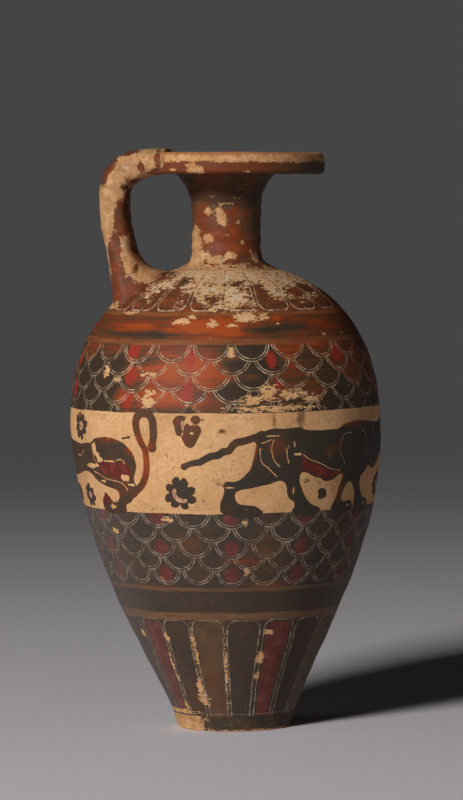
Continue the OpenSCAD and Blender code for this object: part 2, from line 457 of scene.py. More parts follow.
def end(material, colour, roughness, height, depth):
    """Gives the surface its colour, roughness and relief. The height 1 stands the depth in mm proud."""
    bump = height.node("Bump", {}, {"Strength": 1.0, "Distance": depth * MM, "Height": height})
    sockets = {"Base Color": colour, "Roughness": roughness, "Normal": bump, "Specular IOR Level": SHINE}
    show(bump.node("BsdfPrincipled", {}, sockets))
    return material


def attribute(wire, name):
    """The number that paint() stored under the name."""
    return wire.node("Attribute", {"attribute_name": name}, {}, out="Fac")


def noise(vector, scale, detail=3.0, rough=0.55, stretch=None):
    """Noise from 0 to 1 with about this many grains a millimetre. A stretch scales it along each axis."""
    if stretch:
        vector = vector.node("VectorMath", {"operation": "MULTIPLY"}, {0: vector, 1: stretch})
    sockets = {"Vector": vector, "Scale": scale, "Detail": detail, "Roughness": rough}
    return vector.node("TexNoise", {}, sockets)


def joined(x, y, z):
    return x.node("CombineXYZ", {}, {0: x, 1: y, 2: z})


# Colours, on a screen's scale of 0 to 255
CLAY_PALE = (216, 170, 124)
CLAY_DEEP = (160, 112, 70)
CLAY_STAIN = (104, 66, 38)
CLAY_YELLOW = (186, 138, 82)
CLAY_GREY = (200, 178, 150)
DUST = (112, 88, 64)
RIM_OCHRE = (150, 96, 50)
RIM_RED = (150, 78, 38)
BROWN_TONGUE = (92, 68, 46)
# A painted sheen: grey-violet laid over the slip where the room would be reflected at grazing angles
SHEEN_GREY = (110, 98, 94)
WARM_BLACK = (54, 38, 24)
BRIGHT_RED = (148, 44, 32)

# Ramps of colours, [place, colour]
BARE_CLAY = [(0.33, CLAY_DEEP), (0.47, (196, 150, 104)), (0.62, CLAY_PALE)]
FIRED_SLIP = [(0.08, (57, 49, 41)), (0.36, (82, 56, 37)), (0.62, (114, 52, 26)), (0.9, (152, 66, 24))]
WORN_SLIP = [(0.36, (70, 46, 32)), (0.5, (104, 58, 34)), (0.64, (134, 72, 44))]
DULL_RED = [(0.3, (84, 40, 35)), (0.5, (104, 44, 40)), (0.72, (132, 68, 58))]
FIGURE_RED = [(0.3, (70, 36, 30)), (0.5, (98, 40, 33)), (0.72, (128, 60, 48))]
BROWN_WASH = [(0.3, (88, 60, 40)), (0.5, (112, 80, 52)), (0.7, (136, 98, 66))]
RED_WASH = [(0.3, (96, 52, 30)), (0.5, (134, 78, 44)), (0.72, (158, 108, 66))]
PALE_LINE = [(0.35, (138, 110, 82)), (0.6, (190, 162, 130)), (0.75, (222, 198, 166))]
DULL_LINE = [(0.35, (114, 96, 80)), (0.6, (160, 140, 120)), (0.75, (196, 176, 154))]
WORN_PINK = [(0.3, (120, 80, 62)), (0.5, (176, 130, 100)), (0.7, (206, 164, 128))]
PAPER = [(0.3, (206, 201, 204)), (0.7, (214, 209, 212))]


def clay_look(vector, speckle):
    """Bare fired clay: its colour and height."""
    broad = noise(vector, 0.11)
    fine = noise(vector, 1.1, 5.0, 0.7)
    scratch = noise(vector, 0.55, 5.0, 0.7, stretch=(1, 1, 7.0))
    tone = broad * 0.35 + fine * 0.35 + scratch * 0.3
    yellow = noise(vector, 0.19, 4.0, 0.6).step(0.5, 0.7) * 0.4
    colour = yellow.mix(tone.ramp(BARE_CLAY), srgb(CLAY_YELLOW))
    pits = noise(vector, 2.6, 2.0)
    patchy = noise(vector, 0.16).step(0.35, 0.65)
    flecks = noise(vector, 1.2, 5.0, 0.7, stretch=(1, 1, 1.5)) - 0.06 * (1 - patchy)
    specks = noise(vector, 2.4, 4.0, 0.7) + 0.05 * patchy
    stain = (flecks.step(0.6, 0.66).highest(specks.step(0.65, 0.69)) * speckle).lowest(1.0)
    colour = stain.mix(colour, srgb(CLAY_STAIN))
    height = 0.35 * fine + 0.2 * scratch - 0.5 * pits.step(0.62, 0.74) - 0.2 * stain
    return colour, height


def slip_look(vector, fire):
    """Painted slip, from black at fire 0 over brown to orange at 1: its colour and two noises of its own."""
    mottle = noise(vector, 0.5, 4.0, 0.6)
    grain = noise(vector, 3.2, 2.0)
    amount = fire + (mottle - 0.5) * 0.35 + (grain - 0.5) * 0.1
    return amount.ramp(FIRED_SLIP), mottle, grain


# Bands of the body, from the top down
SHOULDER_END = 86.9
SHOULDER_BAND = 86.2
STREAK_END = 81.6
UPPER_SCALES = 80.5
FRIEZE_TOP = 66.9
ZONES_PART = 56.0       # all above it is painted warmer than all below
FRIEZE_LOW = 46.6
LOWER_SCALES_END = 31.0
LINE_Z = 30.7
DARK_END = 25.7
TONGUE_TOP = 24.1
BASE_LINE_Z = 3.75
SHOULDER_TONGUES = 20
BASE_TONGUES = 18

# The scales: how many go round, the first one's middle in degrees, and the bottom of each row
UPPER_COUNT = 23
LOWER_COUNT = 24
UPPER_FIRST = 11.9
LOWER_FIRST = 3.3
UPPER_ROWS = [77.1, 74.3, 71.2, 68.6, 65.6]
LOWER_ROWS = [43.5, 40.5, 37.2, 34.5, 31.5]
SCALE_R = 0.492         # radius of a scale, in pitches
LINE_PAIR = [-0.14, -0.66]
LINE_HALF = 0.09
LINE_SOFT = 0.06


def scale_rows(angle, radius, z, upper, rough_edge):
    """The incised scales of both zones, upper rows over lower ones.

    Returns the line mask, and for the scale that each place lies in a number of its own and its added red.
    """
    lower = 1 - upper
    pitch_deg = upper * (360 / UPPER_COUNT) + lower * (360 / LOWER_COUNT)
    pitch = pitch_deg * (math.pi / 180) * radius
    scale_r = pitch * SCALE_R
    z = z - angle.sine() * (upper * 0.45 - lower * 0.12)
    line = value = red = taken = 0.0
    for row, (upper_z, lower_z) in enumerate(zip(UPPER_ROWS, LOWER_ROWS)):
        bottom = upper * upper_z + lower * lower_z
        shift = row % 2 / 2
        phase = upper * (UPPER_FIRST + shift * 360 / UPPER_COUNT)
        phase = phase + lower * (LOWER_FIRST + shift * 360 / LOWER_COUNT)
        cell = (angle * (180 / math.pi) - phase) / pitch_deg
        index = cell.whole()
        across = (cell - index) * pitch
        count = upper * UPPER_COUNT + lower * LOWER_COUNT
        index = index - ((index * pitch_deg + phase) / 360).whole() * count
        jitter = ((index * 12.9898 + row * 7.3).sine() * 43.7).fraction()
        below = (z - bottom - scale_r - (jitter - 0.5) * 0.35).lowest(0.0)
        away = (across * across + below * below).root() + rough_edge
        inside = away < scale_r
        pair = [(away - scale_r).near(place, LINE_HALF, LINE_SOFT) for place in LINE_PAIR]
        free = inside * (1 - taken)
        line = line + pair[0].highest(pair[1]) * free
        value = value + jitter * free
        if row % 2 == 0:
            red = red + red_dab(index, across, z - bottom) * lower * free
        taken = inside.highest(taken)
    return line, value, red


def red_dab(index, across, above):
    """A soft dab of added red in every second scale."""
    odd = (index * 0.5).fraction() * 2
    up = (above - 2.15) * 0.9
    away = (across * across + up * up).root()
    return (1 - odd) * (1 - away.step(1.05, 1.95))


def tongue(across, half, beyond, corner):
    """How far outside a tongue with rounded end corners a place lies, below 0 inside it."""
    dx = abs(across) - (half - corner)
    dz = beyond + corner
    out_x = dx.highest(0.0)
    out_z = dz.highest(0.0)
    return (out_x * out_x + out_z * out_z).root() + dx.highest(dz).lowest(0.0) - corner


def tongue_ring(turned, count, radius, beyond, gap, corner):
    """A ring of tongues, where turned grows by 1 for each and beyond is how far a place lies past their ends.

    It returns the tongue's number, the distance from its middle, half its room, and how far outside it lies.
    """
    number = turned.floor()
    half = radius * (math.pi / count)
    across = (turned - number - 0.5) * 2 * half
    return number, across, half, tongue(across, half - gap, beyond, corner)


def drawn_round(angle, back, z, stretch, detail, rough):
    """Noise drawn out into streaks round the body. At the back, where the angle jumps, another takes over."""
    turns, bow, rows = stretch
    bowed = angle.sine() * bow
    front = noise(joined(angle * turns, bowed, z * rows), 1.0, detail, rough)
    behind = noise(joined(back * turns, bowed, z * rows), 1.0, detail, rough)
    return front + (behind - front) * abs(angle).step(2.2, 2.8)


def body_material():
    """The whole painted wall: scales, bands, tongues, reserved frieze and wear, with painted sheen on the
    lower half and painted shade towards the frieze's sides.
    """
    material, vector = begin("painted_body")
    kinds = ("loss", "fire", "stain", "dab", "sway")
    loss, fire, stain, dab, lean = (attribute(vector, kind) for kind in kinds)
    x, y, z = vector.parts()
    x = x - lean
    angle = x.math("ARCTAN2", x, -1 * y) + lean / FRIEZE_R
    radius = (x * x + y * y).root()

    # Where a place lies: height on a wandering hand, and the zones
    wander = noise(vector, 0.09, 2.0)
    hand = noise(vector, 0.7, 2.0)
    level = z + (wander - 0.5) * 0.7 + (hand - 0.5) * 0.12
    in_upper = level.between(FRIEZE_TOP, UPPER_SCALES)
    in_lower = level.between(LOWER_SCALES_END - 0.1, FRIEZE_LOW)
    in_scales = (in_upper + in_lower).lowest(1.0)
    upper_half = level.step(ZONES_PART, ZONES_PART + 1.0)

    # The slip as it was fired, streaked by the wheel
    back = x.math("ARCTAN2", x, y)
    streak = drawn_round(angle, back, z, (4.0, 3.0, 2.2), 4.0, 0.6)
    streak_fine = drawn_round(angle, back, z, (9.0, 6.0, 5.0), 3.0, 0.55)
    glaze_fire = fire + (streak - 0.5) * (0.25 + 0.65 * upper_half) + (streak_fine - 0.5) * 0.35
    waver = (noise(vector, 0.45, 2.0) - 0.5) * 0.28
    line, value, red = scale_rows(angle, radius, z, upper_half, waver)
    glaze_fire = glaze_fire + (value - 0.5) * in_scales * (0.1 + 0.3 * upper_half)
    slip, mottle, grain = slip_look(vector, glaze_fire)
    slip = (upper_half * 0.55 * (1 - glaze_fire.step(0.15, 0.5))).mix(slip, srgb(WARM_BLACK))
    worn_slip = (mottle * 0.6 + streak * 0.4).ramp(WORN_SLIP)
    slip = (z.step(SHOULDER_END, SHOULDER_END + 0.8) * 0.75).mix(slip, worn_slip)
    line = line * in_scales
    red = red * in_scales

    # Tongues at the base and on the shoulder
    degrees = angle * (180 / math.pi)
    crowd = (degrees * -1).step(12, 60) * (1 - (degrees * -1).step(90, 170)) * z.step(2, 26) * 7
    base_cell = (degrees - crowd + 0.5) * (BASE_TONGUES / 360) + (wander - 0.5) * 0.12
    base_index, _, _, base_edge = tongue_ring(base_cell, BASE_TONGUES, radius, level - TONGUE_TOP, 0.42, 1.9)
    in_base = 1 - level.step(TONGUE_TOP - 0.05, TONGUE_TOP + 0.1)
    base_line = (base_edge.near(0.0, 0.11, 0.07) * in_base).highest(z.near(BASE_LINE_Z, 0.08, 0.05) * 0.8)
    top_cell = (degrees - 0.5) * (SHOULDER_TONGUES / 360) + (wander - 0.5) * 0.2
    past_end = SHOULDER_END + 0.3 - level
    _, top_across, top_half, top_edge = tongue_ring(top_cell, SHOULDER_TONGUES, radius, past_end, 0.4, 1.6)
    in_top = level.step(SHOULDER_END - 0.1, SHOULDER_END + 0.1)
    top_line = top_edge.near(0.0, 0.13, 0.08) * in_top

    # Tongues of red, black and brown slip, and added red
    base_turn = ((base_index + 20.01) / 4).fraction()
    red_tongue = in_base * base_turn.near(0.25, 0.1, 0.02) * (1 - base_edge.step(-0.75, -0.4))
    brown_tongue = in_base * base_turn.near(0.75, 0.1, 0.02)
    patina = noise(vector, 0.35, 5.0, 0.7, stretch=(1, 1, 0.7)).step(0.36, 0.64)
    slip = (brown_tongue * (0.25 + patina * 0.75)).lowest(1.0).mix(slip, srgb(BROWN_TONGUE))
    red_look = (mottle * 0.7 + grain * 0.3).ramp(DULL_RED)
    red_look = in_upper.mix(red_look, srgb(BRIGHT_RED))
    dabbed = (dab + (hand - 0.5) * 0.25).step(0.34, 0.64)
    added = (red * 0.75).highest(red_tongue * 0.8).highest(dabbed * in_upper * 0.85) * (0.55 + mottle * 0.8)
    slip = added.lowest(1.0).mix(slip, red_look)

    # Thin washes on the bands between the zones, painted sheen on the lower half, and brown scuffs
    thin = (
        level.between(SHOULDER_BAND, SHOULDER_END) * 0.75
        + level.between(UPPER_SCALES, STREAK_END) * 0.5
        + level.near(LINE_Z, 0.38, 0.2) * 0.6
        + level.between(TONGUE_TOP, DARK_END) * 0.85
    ).lowest(1.0)
    drawn = streak * 0.6 + grain * 0.4
    slip = thin.mix(slip, upper_half.mix(drawn.ramp(BROWN_WASH), drawn.ramp(RED_WASH)))
    # Painted sheen: a grey-violet layer over the lower half, faint at the front and strongest from the sides
    # round to the back
    side = abs(angle - 0.12).step(0.6, 1.35)
    painted_sheen = (1 - upper_half) * (0.06 + 0.34 * side) * (0.6 + 0.8 * mottle)
    slip = painted_sheen.lowest(1.0).mix(slip, srgb(SHEEN_GREY))
    scuff = noise(vector, 1.3, 4.0, 0.7, stretch=(1, 1, 5.0)).step(0.62, 0.7) * (1 - upper_half) * 0.35
    slip = scuff.mix(slip, srgb(BROWN_TONGUE))

    # The clay: stained on the frieze, with painted shade that darkens it towards its sides and back, and
    # greyer on the shoulder
    on_shoulder = level.step(SHOULDER_END - 0.4, SHOULDER_END + 1.0)
    clay, clay_height = clay_look(vector, 0.8)
    dirt = noise(vector, 1.5, 6.0, 0.75)
    # Stains on the frieze and painted shade towards its sides, mixed in from the stored attribute
    clay = ((stain * 0.8 + dirt - 0.8).step(0.0, 0.16) * 0.8).mix(clay, srgb(CLAY_STAIN))
    ochre = noise(vector, 0.28, 5.0, 0.68).step(0.5, 0.66) * (1 - on_shoulder) * 0.35
    clay = ochre.mix(clay, srgb(CLAY_YELLOW))
    grey = (noise(vector, 0.42, 5.0, 0.65) - 0.06 * (1 - on_shoulder)).step(0.52, 0.62)
    clay = (grey * (0.15 + 0.55 * on_shoulder) + on_shoulder * 0.12).mix(clay, srgb(CLAY_GREY))

    # Where the slip is gone: reserved frieze, flakes and chips along the lines
    tear = noise(vector, 0.5, 6.0, 0.68, stretch=(1, 1, 1.9))
    tear_fine = noise(vector, 1.5, 5.0, 0.68, stretch=(1, 1, 2.0))
    tear_mid = noise(vector, 0.95, 4.0, 0.62, stretch=(1, 1, 2.6))
    worn = loss.step(0.0, 0.4)
    ragged = (tear - 0.5) * 1.2 + (tear_mid - 0.5) * (1.3 * worn + 0.5 * on_shoulder)
    flaked = (loss + ragged + (tear_fine - 0.5) * (0.6 + 0.7 * worn)).step(0.46, 0.52)
    frieze = level.between(FRIEZE_LOW, FRIEZE_TOP, 0.06)
    crumbs = noise(vector, 0.9, 4.0, 0.65).step(0.7, 0.73) * (1 - frieze) * 0.8
    bare = frieze.highest(flaked).highest(crumbs)

    # Lines over the slip, the clay over both
    wear = noise(vector, 0.8)
    # The lines are drawn fainter from the sides round to the back.
    strength = (0.4 + 0.55 * wear.step(0.36, 0.6)) * (1 - 0.3 * side)
    all_lines = line.highest(base_line).highest(top_line)
    line_colour = upper_half.mix(wear.ramp(DULL_LINE), wear.ramp(PALE_LINE))
    colour = (all_lines * strength).lowest(1.0).mix(slip, line_colour)
    colour = bare.mix(colour, clay)
    colour = (all_lines * bare * 0.7 * top_line).mix(colour, srgb(CLAY_PALE))
    parting = (abs(top_across) - top_half).step(-0.3, -0.1) * in_top * bare * wear.step(0.35, 0.6)
    colour = (parting * 0.55).mix(colour, srgb(CLAY_STAIN))

    height = (1 - bare) * 0.9 - all_lines * 0.9 + clay_height * bare + mottle * 0.15
    sheen = 0.5 + 0.14 * grain + 0.1 * (mottle - 0.5) + red * 0.2
    roughness = bare * (0.85 - sheen) + sheen
    return end(material, colour, roughness, height, depth=0.06)


def figure_material(name, added_red=False):
    """Painted figures: slip, with added red where it is named so."""
    material, vector = begin(name)
    loss = attribute(vector, "loss")
    rim = attribute(vector, "rim")
    thin = noise(vector, 0.35)
    fire = attribute(vector, "fire") + rim * rim * 0.45 * thin.step(0.35, 0.65) + (thin - 0.5) * 0.4
    slip, mottle, grain = slip_look(vector, fire)
    if added_red:
        slip = (mottle * 0.7 + grain * 0.3 - rim * 0.12).ramp(FIGURE_RED)
    clay, clay_height = clay_look(vector, 0.4)
    tear = noise(vector, 0.55, 5.0, 0.62)
    tear_fine = noise(vector, 1.9, 3.0, 0.6)
    flaked = (loss + (tear - 0.5) * 1.1 + (tear_fine - 0.5) * 0.3).step(0.46, 0.53)
    crumbs = noise(vector, 1.0, 4.0, 0.65).step(0.68, 0.71) * 0.7
    bare = flaked.highest(crumbs)
    colour = bare.mix(slip, clay)
    height = (1 - bare) * 0.9 + mottle * 0.15 + clay_height * bare
    roughness = bare * 0.35 + 0.48 + 0.12 * grain
    return end(material, colour, roughness, height, depth=0.05)


def flaked_material(name, speckle=0.5, uneven=0.9):
    """A piece that keeps part of its slip: attributes say where it is lost and how it was fired."""
    material, vector = begin(name)
    loss = attribute(vector, "loss")
    blush = noise(vector, 0.24, 4.0, 0.6)
    fire = attribute(vector, "fire") + (blush - 0.5) * uneven
    slip, mottle, grain = slip_look(vector, fire)
    clay, clay_height = clay_look(vector, speckle)
    shade = noise(vector, 0.5, 5.0, 0.7).step(0.4, 0.62)
    clay = (0.25 + shade * 0.55).mix(clay, srgb(CLAY_DEEP))
    tear = noise(vector, 0.6, 6.0, 0.7)
    tear_fine = noise(vector, 1.8, 5.0, 0.68)
    flaked = (loss + (tear - 0.5) * 1.3 + (tear_fine - 0.5) * 1.1).step(0.47, 0.52)
    colour = flaked.mix(slip, clay)
    chalk = noise(vector, 0.6, 5.0, 0.7, stretch=(1, 1, 1.6)).step(0.54, 0.64)
    chalk = chalk * (0.05 + 0.45 * flaked)
    colour = chalk.mix(colour, srgb(CLAY_GREY))
    dirt = noise(vector, 0.5, 5.0, 0.7, stretch=(1, 1, 2.2)).step(0.5, 0.68) * 0.45
    colour = dirt.mix(colour, srgb(DUST))
    height = 1 - flaked + clay_height * flaked + mottle * 0.25
    sheen = 0.5 + 0.14 * grain
    roughness = flaked * (0.88 - sheen) + sheen
    return end(material, colour, roughness, height, depth=0.09)


# The pieces
def make_body():
    """The thrown body: its outside, its opening and its cavity in one closed wall."""
    outer = [(0, SEAT_Z)]
    outer += [tuple(p) for p in bezier(LOW_CURVE, np.linspace(0, 1, 135))]
    outer += [tuple(p) for p in bezier(TOP_CURVE, np.linspace(0, 1, 112))[1:]]
    inner = []
    for curve in (TOP_CURVE, LOW_CURVE):
        t = np.linspace(1, 0, 17)
        side = bezier(curve, t)
        heading = bezier_heading(curve, t)
        inner += [tuple(p) for p in side + WALL * np.stack([-heading[:, 1], heading[:, 0]], 1)]
    inner = [p for p in inner if p[0] > OPENING_R and p[1] > FLOOR_Z]
    outline = outer + [(OPENING_R, NECK_Z), (OPENING_R, CAVITY_TOP)] + inner + [(0, FLOOR_Z)]
    body = turned("body_painted", outline, steps=320)
    points = points_of(body)
    radius = np.hypot(points[:, 0], points[:, 1])
    angle = angle_of(points[:, 0], points[:, 1])
    z = points[:, 2]
    outside = (radius > body_radius(z) - 0.4) & (z > SEAT_Z + 0.1)
    fade = along(z, [(SEAT_Z, 0.3), (SEAT_Z + 6, 1), (NECK_Z - 6, 1), (NECK_Z, 0)])
    push = np.where(outside, unevenness(angle, z) * fade, 0)
    push_out(points, angle, push)
    x = frieze_x(points)
    points[:, 0] += sway(z)
    move_points(body, points)
    paint(body, "sway", sway(z))
    paint(body, "dab", spots(x, z, RED_DABS))
    paint(body, "loss", body_loss(x, z) * outside)
    paint(body, "fire", body_fire(x, z))
    # Stains on the frieze, and painted shade that darkens it towards its sides
    paint(body, "stain", body_stain_and_edge_shade(x, z))
    finish(body, degrees=50, material=body_material())
    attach(body, ROOT)
    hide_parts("body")


# Spots on the body, [x, z, half width, half height, strength]
LOSS_SPOTS = [
    (4.5, 69.3, 2.4, 1.3, 0.85), (8.2, 71.0, 1.8, 1.8, 0.8), (13.0, 70.4, 3.0, 1.2, 0.75),
    (17.5, 69.4, 2.6, 1.0, 0.75), (9.5, 67.6, 9.5, 0.7, 0.8), (-33.5, 3.9, 15.0, 0.45, 1.0),
    (-16.4, 69.0, 1.3, 1.1, 1.1), (-15.6, 71.0, 1.5, 0.6, 1.0), (-28.2, 75.2, 0.9, 1.2, 1.0),
    (-24.6, 73.5, 1.0, 0.6, 0.9), (-18.2, 74.6, 0.7, 0.5, 0.9), (-16.4, 74.8, 1.6, 0.35, 0.9),
    (-10.8, 85.2, 1.8, 0.5, 1.1), (-8.5, 86.0, 1.8, 0.35, 0.9), (-12.9, 84.7, 0.9, 0.4, 0.9),
    (4.6, 86.0, 2.6, 1.0, 1.0), (1.4, 84.3, 1.5, 0.3, 0.9), (-3.5, 84.6, 1.3, 0.7, 1.0),
    (9.3, 85.9, 1.5, 0.8, 0.8), (12.4, 84.6, 0.5, 0.3, 0.9), (0.8, 79.0, 0.9, 0.9, 0.85),
    (-29.2, 86.7, 2.8, 0.35, 0.95), (24.6, 82.2, 0.6, 0.25, 0.9), (31.6, 82.2, 0.7, 0.2, 0.8),
    (-13.2, 45.3, 1.1, 0.6, 1.0), (-28.4, 42.4, 1.2, 0.6, 1.0), (3.3, 44.5, 0.6, 0.5, 1.0),
    (4.1, 34.5, 0.9, 0.6, 0.9), (-17.0, 32.9, 0.9, 0.5, 0.9), (11.8, 21.5, 1.5, 0.5, 1.0),
    (9.8, 16.0, 1.2, 1.2, 1.0), (9.7, 12.3, 0.9, 1.0, 0.8), (-21.2, 20.2, 0.9, 1.2, 0.85),
    (-13.4, 9.6, 1.2, 1.8, 0.95), (-12.8, 7.0, 2.8, 1.5, 0.75), (-32.6, 20.6, 1.0, 1.4, 0.8),
    (-22.8, 13.5, 0.6, 4.0, 0.8), (-11.8, 18.0, 0.6, 4.5, 0.8), (-1.9, 13.0, 0.5, 8.0, 0.75),
    (-24.0, 6.0, 1.0, 2.0, 0.8),
]
SLIP_KEPT = [
    (-19.2, 89.2, 4.4, 1.9, 1.3), (10.6, 90.2, 2.1, 1.7, 1.3), (-11.2, 89.5, 1.3, 1.1, 1.2),
    (-17.6, 92.8, 2.6, 0.7, 1.0), (4.2, 92.4, 2.8, 0.5, 1.0), (-3.8, 89.4, 1.5, 0.6, 1.0),
    (-8.6, 87.8, 2.0, 0.7, 1.0), (24.5, 90.6, 3.4, 0.8, 1.1), (5.0, 87.6, 1.0, 0.5, 1.0),
    (31.0, 91.3, 4.0, 0.7, 1.1), (-36.0, 89.8, 5.0, 1.4, 1.2), (-40.0, 93.4, 9.0, 1.0, 1.2),
    (16.5, 88.2, 6.0, 0.9, 1.0), (34.0, 88.4, 8.0, 1.2, 1.1), (46.0, 89.5, 8.0, 1.4, 1.1),
    (-30.0, 88.6, 5.0, 0.9, 1.1), (60.0, 90.0, 7.0, 2.0, 1.2), (75.0, 89.0, 6.0, 1.6, 1.2),
    (-60.0, 89.5, 8.0, 1.8, 1.2), (-78.0, 91.0, 6.0, 1.8, 1.2), (88.0, 91.5, 5.0, 1.6, 1.2),
]
RED_DABS = [
    (-21.4, 79.3, 1.5, 2.1, 1.0), (-7.8, 77.7, 1.0, 1.9, 1.0), (-21.0, 74.2, 1.4, 1.9, 1.0),
    (-8.2, 71.2, 1.3, 1.9, 1.0), (-21.2, 69.3, 1.0, 1.8, 1.0), (9.2, 77.4, 1.0, 1.6, 1.0),
    (26.5, 78.3, 1.6, 1.8, 1.0), (10.2, 72.4, 1.1, 1.2, 0.75), (41.0, 77.5, 1.3, 1.9, 1.0),
    (41.5, 71.0, 1.3, 1.9, 1.0), (56.0, 77.7, 1.2, 1.9, 1.0), (57.0, 71.0, 1.2, 1.9, 1.0),
    (72.0, 77.5, 1.3, 1.9, 1.0), (72.5, 71.2, 1.3, 1.9, 1.0), (88.0, 77.5, 1.2, 1.9, 1.0),
    (88.5, 71.1, 1.2, 1.9, 1.0), (103.0, 77.6, 1.3, 1.9, 1.0), (104.0, 71.0, 1.3, 1.9, 1.0),
    (-75.0, 77.5, 1.2, 1.9, 1.0), (-74.0, 71.1, 1.2, 1.9, 1.0), (-60.0, 77.6, 1.3, 1.9, 1.0),
    (-59.0, 71.0, 1.3, 1.9, 1.0), (-43.0, 77.5, 1.3, 1.9, 1.0), (-42.0, 71.2, 1.3, 1.9, 1.0),
]
FIRE_SPOTS = [
    (-4.0, 83.9, 12.0, 2.4, 1.25), (22.0, 84.2, 14.0, 2.4, 0.8), (-14.0, 76.0, 9.0, 5.0, 1.1),
    (-6.0, 76.0, 6.0, 5.0, 1.15), (-12.0, 70.0, 7.0, 2.0, 1.15), (-22.0, 70.0, 3.0, 2.0, 1.0),
    (-24.0, 84.0, 13.0, 1.5, 0.9), (2.0, 83.4, 3.0, 1.4, 1.2), (12.5, 85.6, 2.5, 0.8, 1.1),
    (-19.5, 89.0, 5.0, 2.0, 0.75), (-40.0, 92.0, 14.0, 5.0, 0.8), (-36.0, 79.0, 8.0, 3.5, 0.65),
    (20.0, 80.6, 10.0, 2.0, 0.7), (25.0, 90.6, 9.0, 2.5, 0.8), (1.0, 78.0, 3.0, 1.2, 0.9),
    (13.5, 76.5, 4.0, 4.0, 0.62), (5.0, 73.8, 3.0, 1.0, 0.7), (10.6, 90.4, 2.5, 2.0, 0.62),
    (-9.0, 87.6, 4.0, 1.5, 0.95), (-70.0, 84.0, 20.0, 3.5, 0.9), (80.0, 83.5, 18.0, 3.0, 0.8),
    (-75.0, 74.0, 12.0, 5.0, 0.85), (85.0, 73.0, 14.0, 4.0, 0.8), (60.0, 77.0, 8.0, 4.0, 0.7),
    (-9.0, 40.2, 3.5, 3.0, 0.42), (8.0, 39.0, 3.5, 5.0, 0.4), (3.0, 36.6, 5.0, 0.8, 0.6),
    (-20.0, 31.0, 8.0, 0.6, 0.5), (-17.0, 7.5, 5.0, 5.0, 0.35), (-7.0, 12.0, 4.0, 12.0, 0.5),
    (10.0, 31.6, 6.0, 0.8, 0.6),
]
DARK_SPOTS = [
    (-26.0, 76.6, 3.2, 1.3, 0.9), (-33.0, 71.0, 7.0, 5.0, 0.75), (-27.0, 71.6, 2.5, 1.6, 0.8),
    (8.0, 83.3, 4.0, 0.55, 0.9), (-16.0, 82.5, 9.0, 0.4, 0.7), (17.5, 83.8, 4.5, 0.6, 0.7),
    (2.0, 76.8, 2.4, 1.2, 0.8), (5.4, 79.0, 3.2, 0.8, 0.9), (7.0, 76.4, 1.2, 1.5, 0.7),
    (0.6, 71.2, 2.6, 1.2, 0.8), (6.2, 72.6, 2.2, 0.7, 0.7), (-17.0, 77.5, 4.0, 0.8, 0.5),
]
STAIN_SPOTS = [
    (14.6, 65.6, 1.2, 2.2, 0.8), (9.0, 65.2, 0.5, 2.0, 0.8), (-1.2, 63.3, 0.9, 0.5, 1.0),
    (-2.3, 53.4, 0.9, 0.5, 0.7), (16.2, 52.9, 0.8, 0.5, 0.9), (23.2, 50.8, 1.0, 0.9, 0.6),
    (-29.0, 64.2, 1.4, 0.3, 0.7), (-5.0, 65.6, 0.6, 0.5, 0.8), (-5.2, 49.2, 0.6, 0.8, 0.6),
    (22.0, 64.8, 3.0, 0.6, 0.5), (-14.5, 55.0, 0.5, 0.4, 0.7), (-1.5, 52.5, 4.0, 1.2, 0.45),
    (3.0, 59.0, 3.0, 1.5, 0.35), (-7.0, 47.6, 6.0, 0.7, 0.55), (-16.0, 47.4, 5.0, 0.5, 0.5),
    (-12.5, 60.5, 3.0, 3.0, 0.3), (4.0, 65.9, 6.0, 0.6, 0.5), (-28.0, 66.2, 7.0, 0.5, 0.45),
    (12.0, 50.0, 4.0, 2.0, 0.35),
]


def body_loss(x, z):
    """Where the slip is gone: the shoulder, save where it is kept, and the spots."""
    base = along(z, [(86.0, 0.0), (87.2, 0.44), (88.4, 0.6), (91.0, 0.66), (NECK_Z, 0.76)])
    far_side = 0.1 * np.clip(1 - np.cos((x + FRONT_X) / FRIEZE_R), 0, 2) * (z > 86)
    kept = spots(x, z, SLIP_KEPT)
    lost = np.maximum(base - far_side, spots(x, z, LOSS_SPOTS))
    return np.clip(lost - 0.6 * kept * (z > 86), 0, 1.2)


def body_fire(x, z):
    """How the slip was fired, zone by zone, with its warm and its dark spots."""
    base = along(z, [
        (0, 0.12), (24, 0.16), (30, 0.1), (32, 0.15), (47, 0.14), (66, 0.24), (72, 0.34), (80, 0.44),
        (86, 0.5), (96, 0.45)])
    warm = spots(x, z, FIRE_SPOTS)
    cold = spots(x, z, DARK_SPOTS)
    return np.clip(np.maximum(base, warm) - 0.7 * cold, 0, 1)


def body_stain_and_edge_shade(x, z):
    """Stains on the reserved clay of the frieze, and painted shade that darkens it towards the sides and the
    back.
    """
    # Painted shade: the clay darkens from about 25 mm either side of the frieze's front, most from 60 mm
    # round to the back
    edge = 0.3 * np.clip(np.abs(x) / 34 - 0.75, 0, 1)
    return np.clip(np.maximum(spots(x, z, STAIN_SPOTS), edge * (z < 68) * (z > 46)), 0, 1)


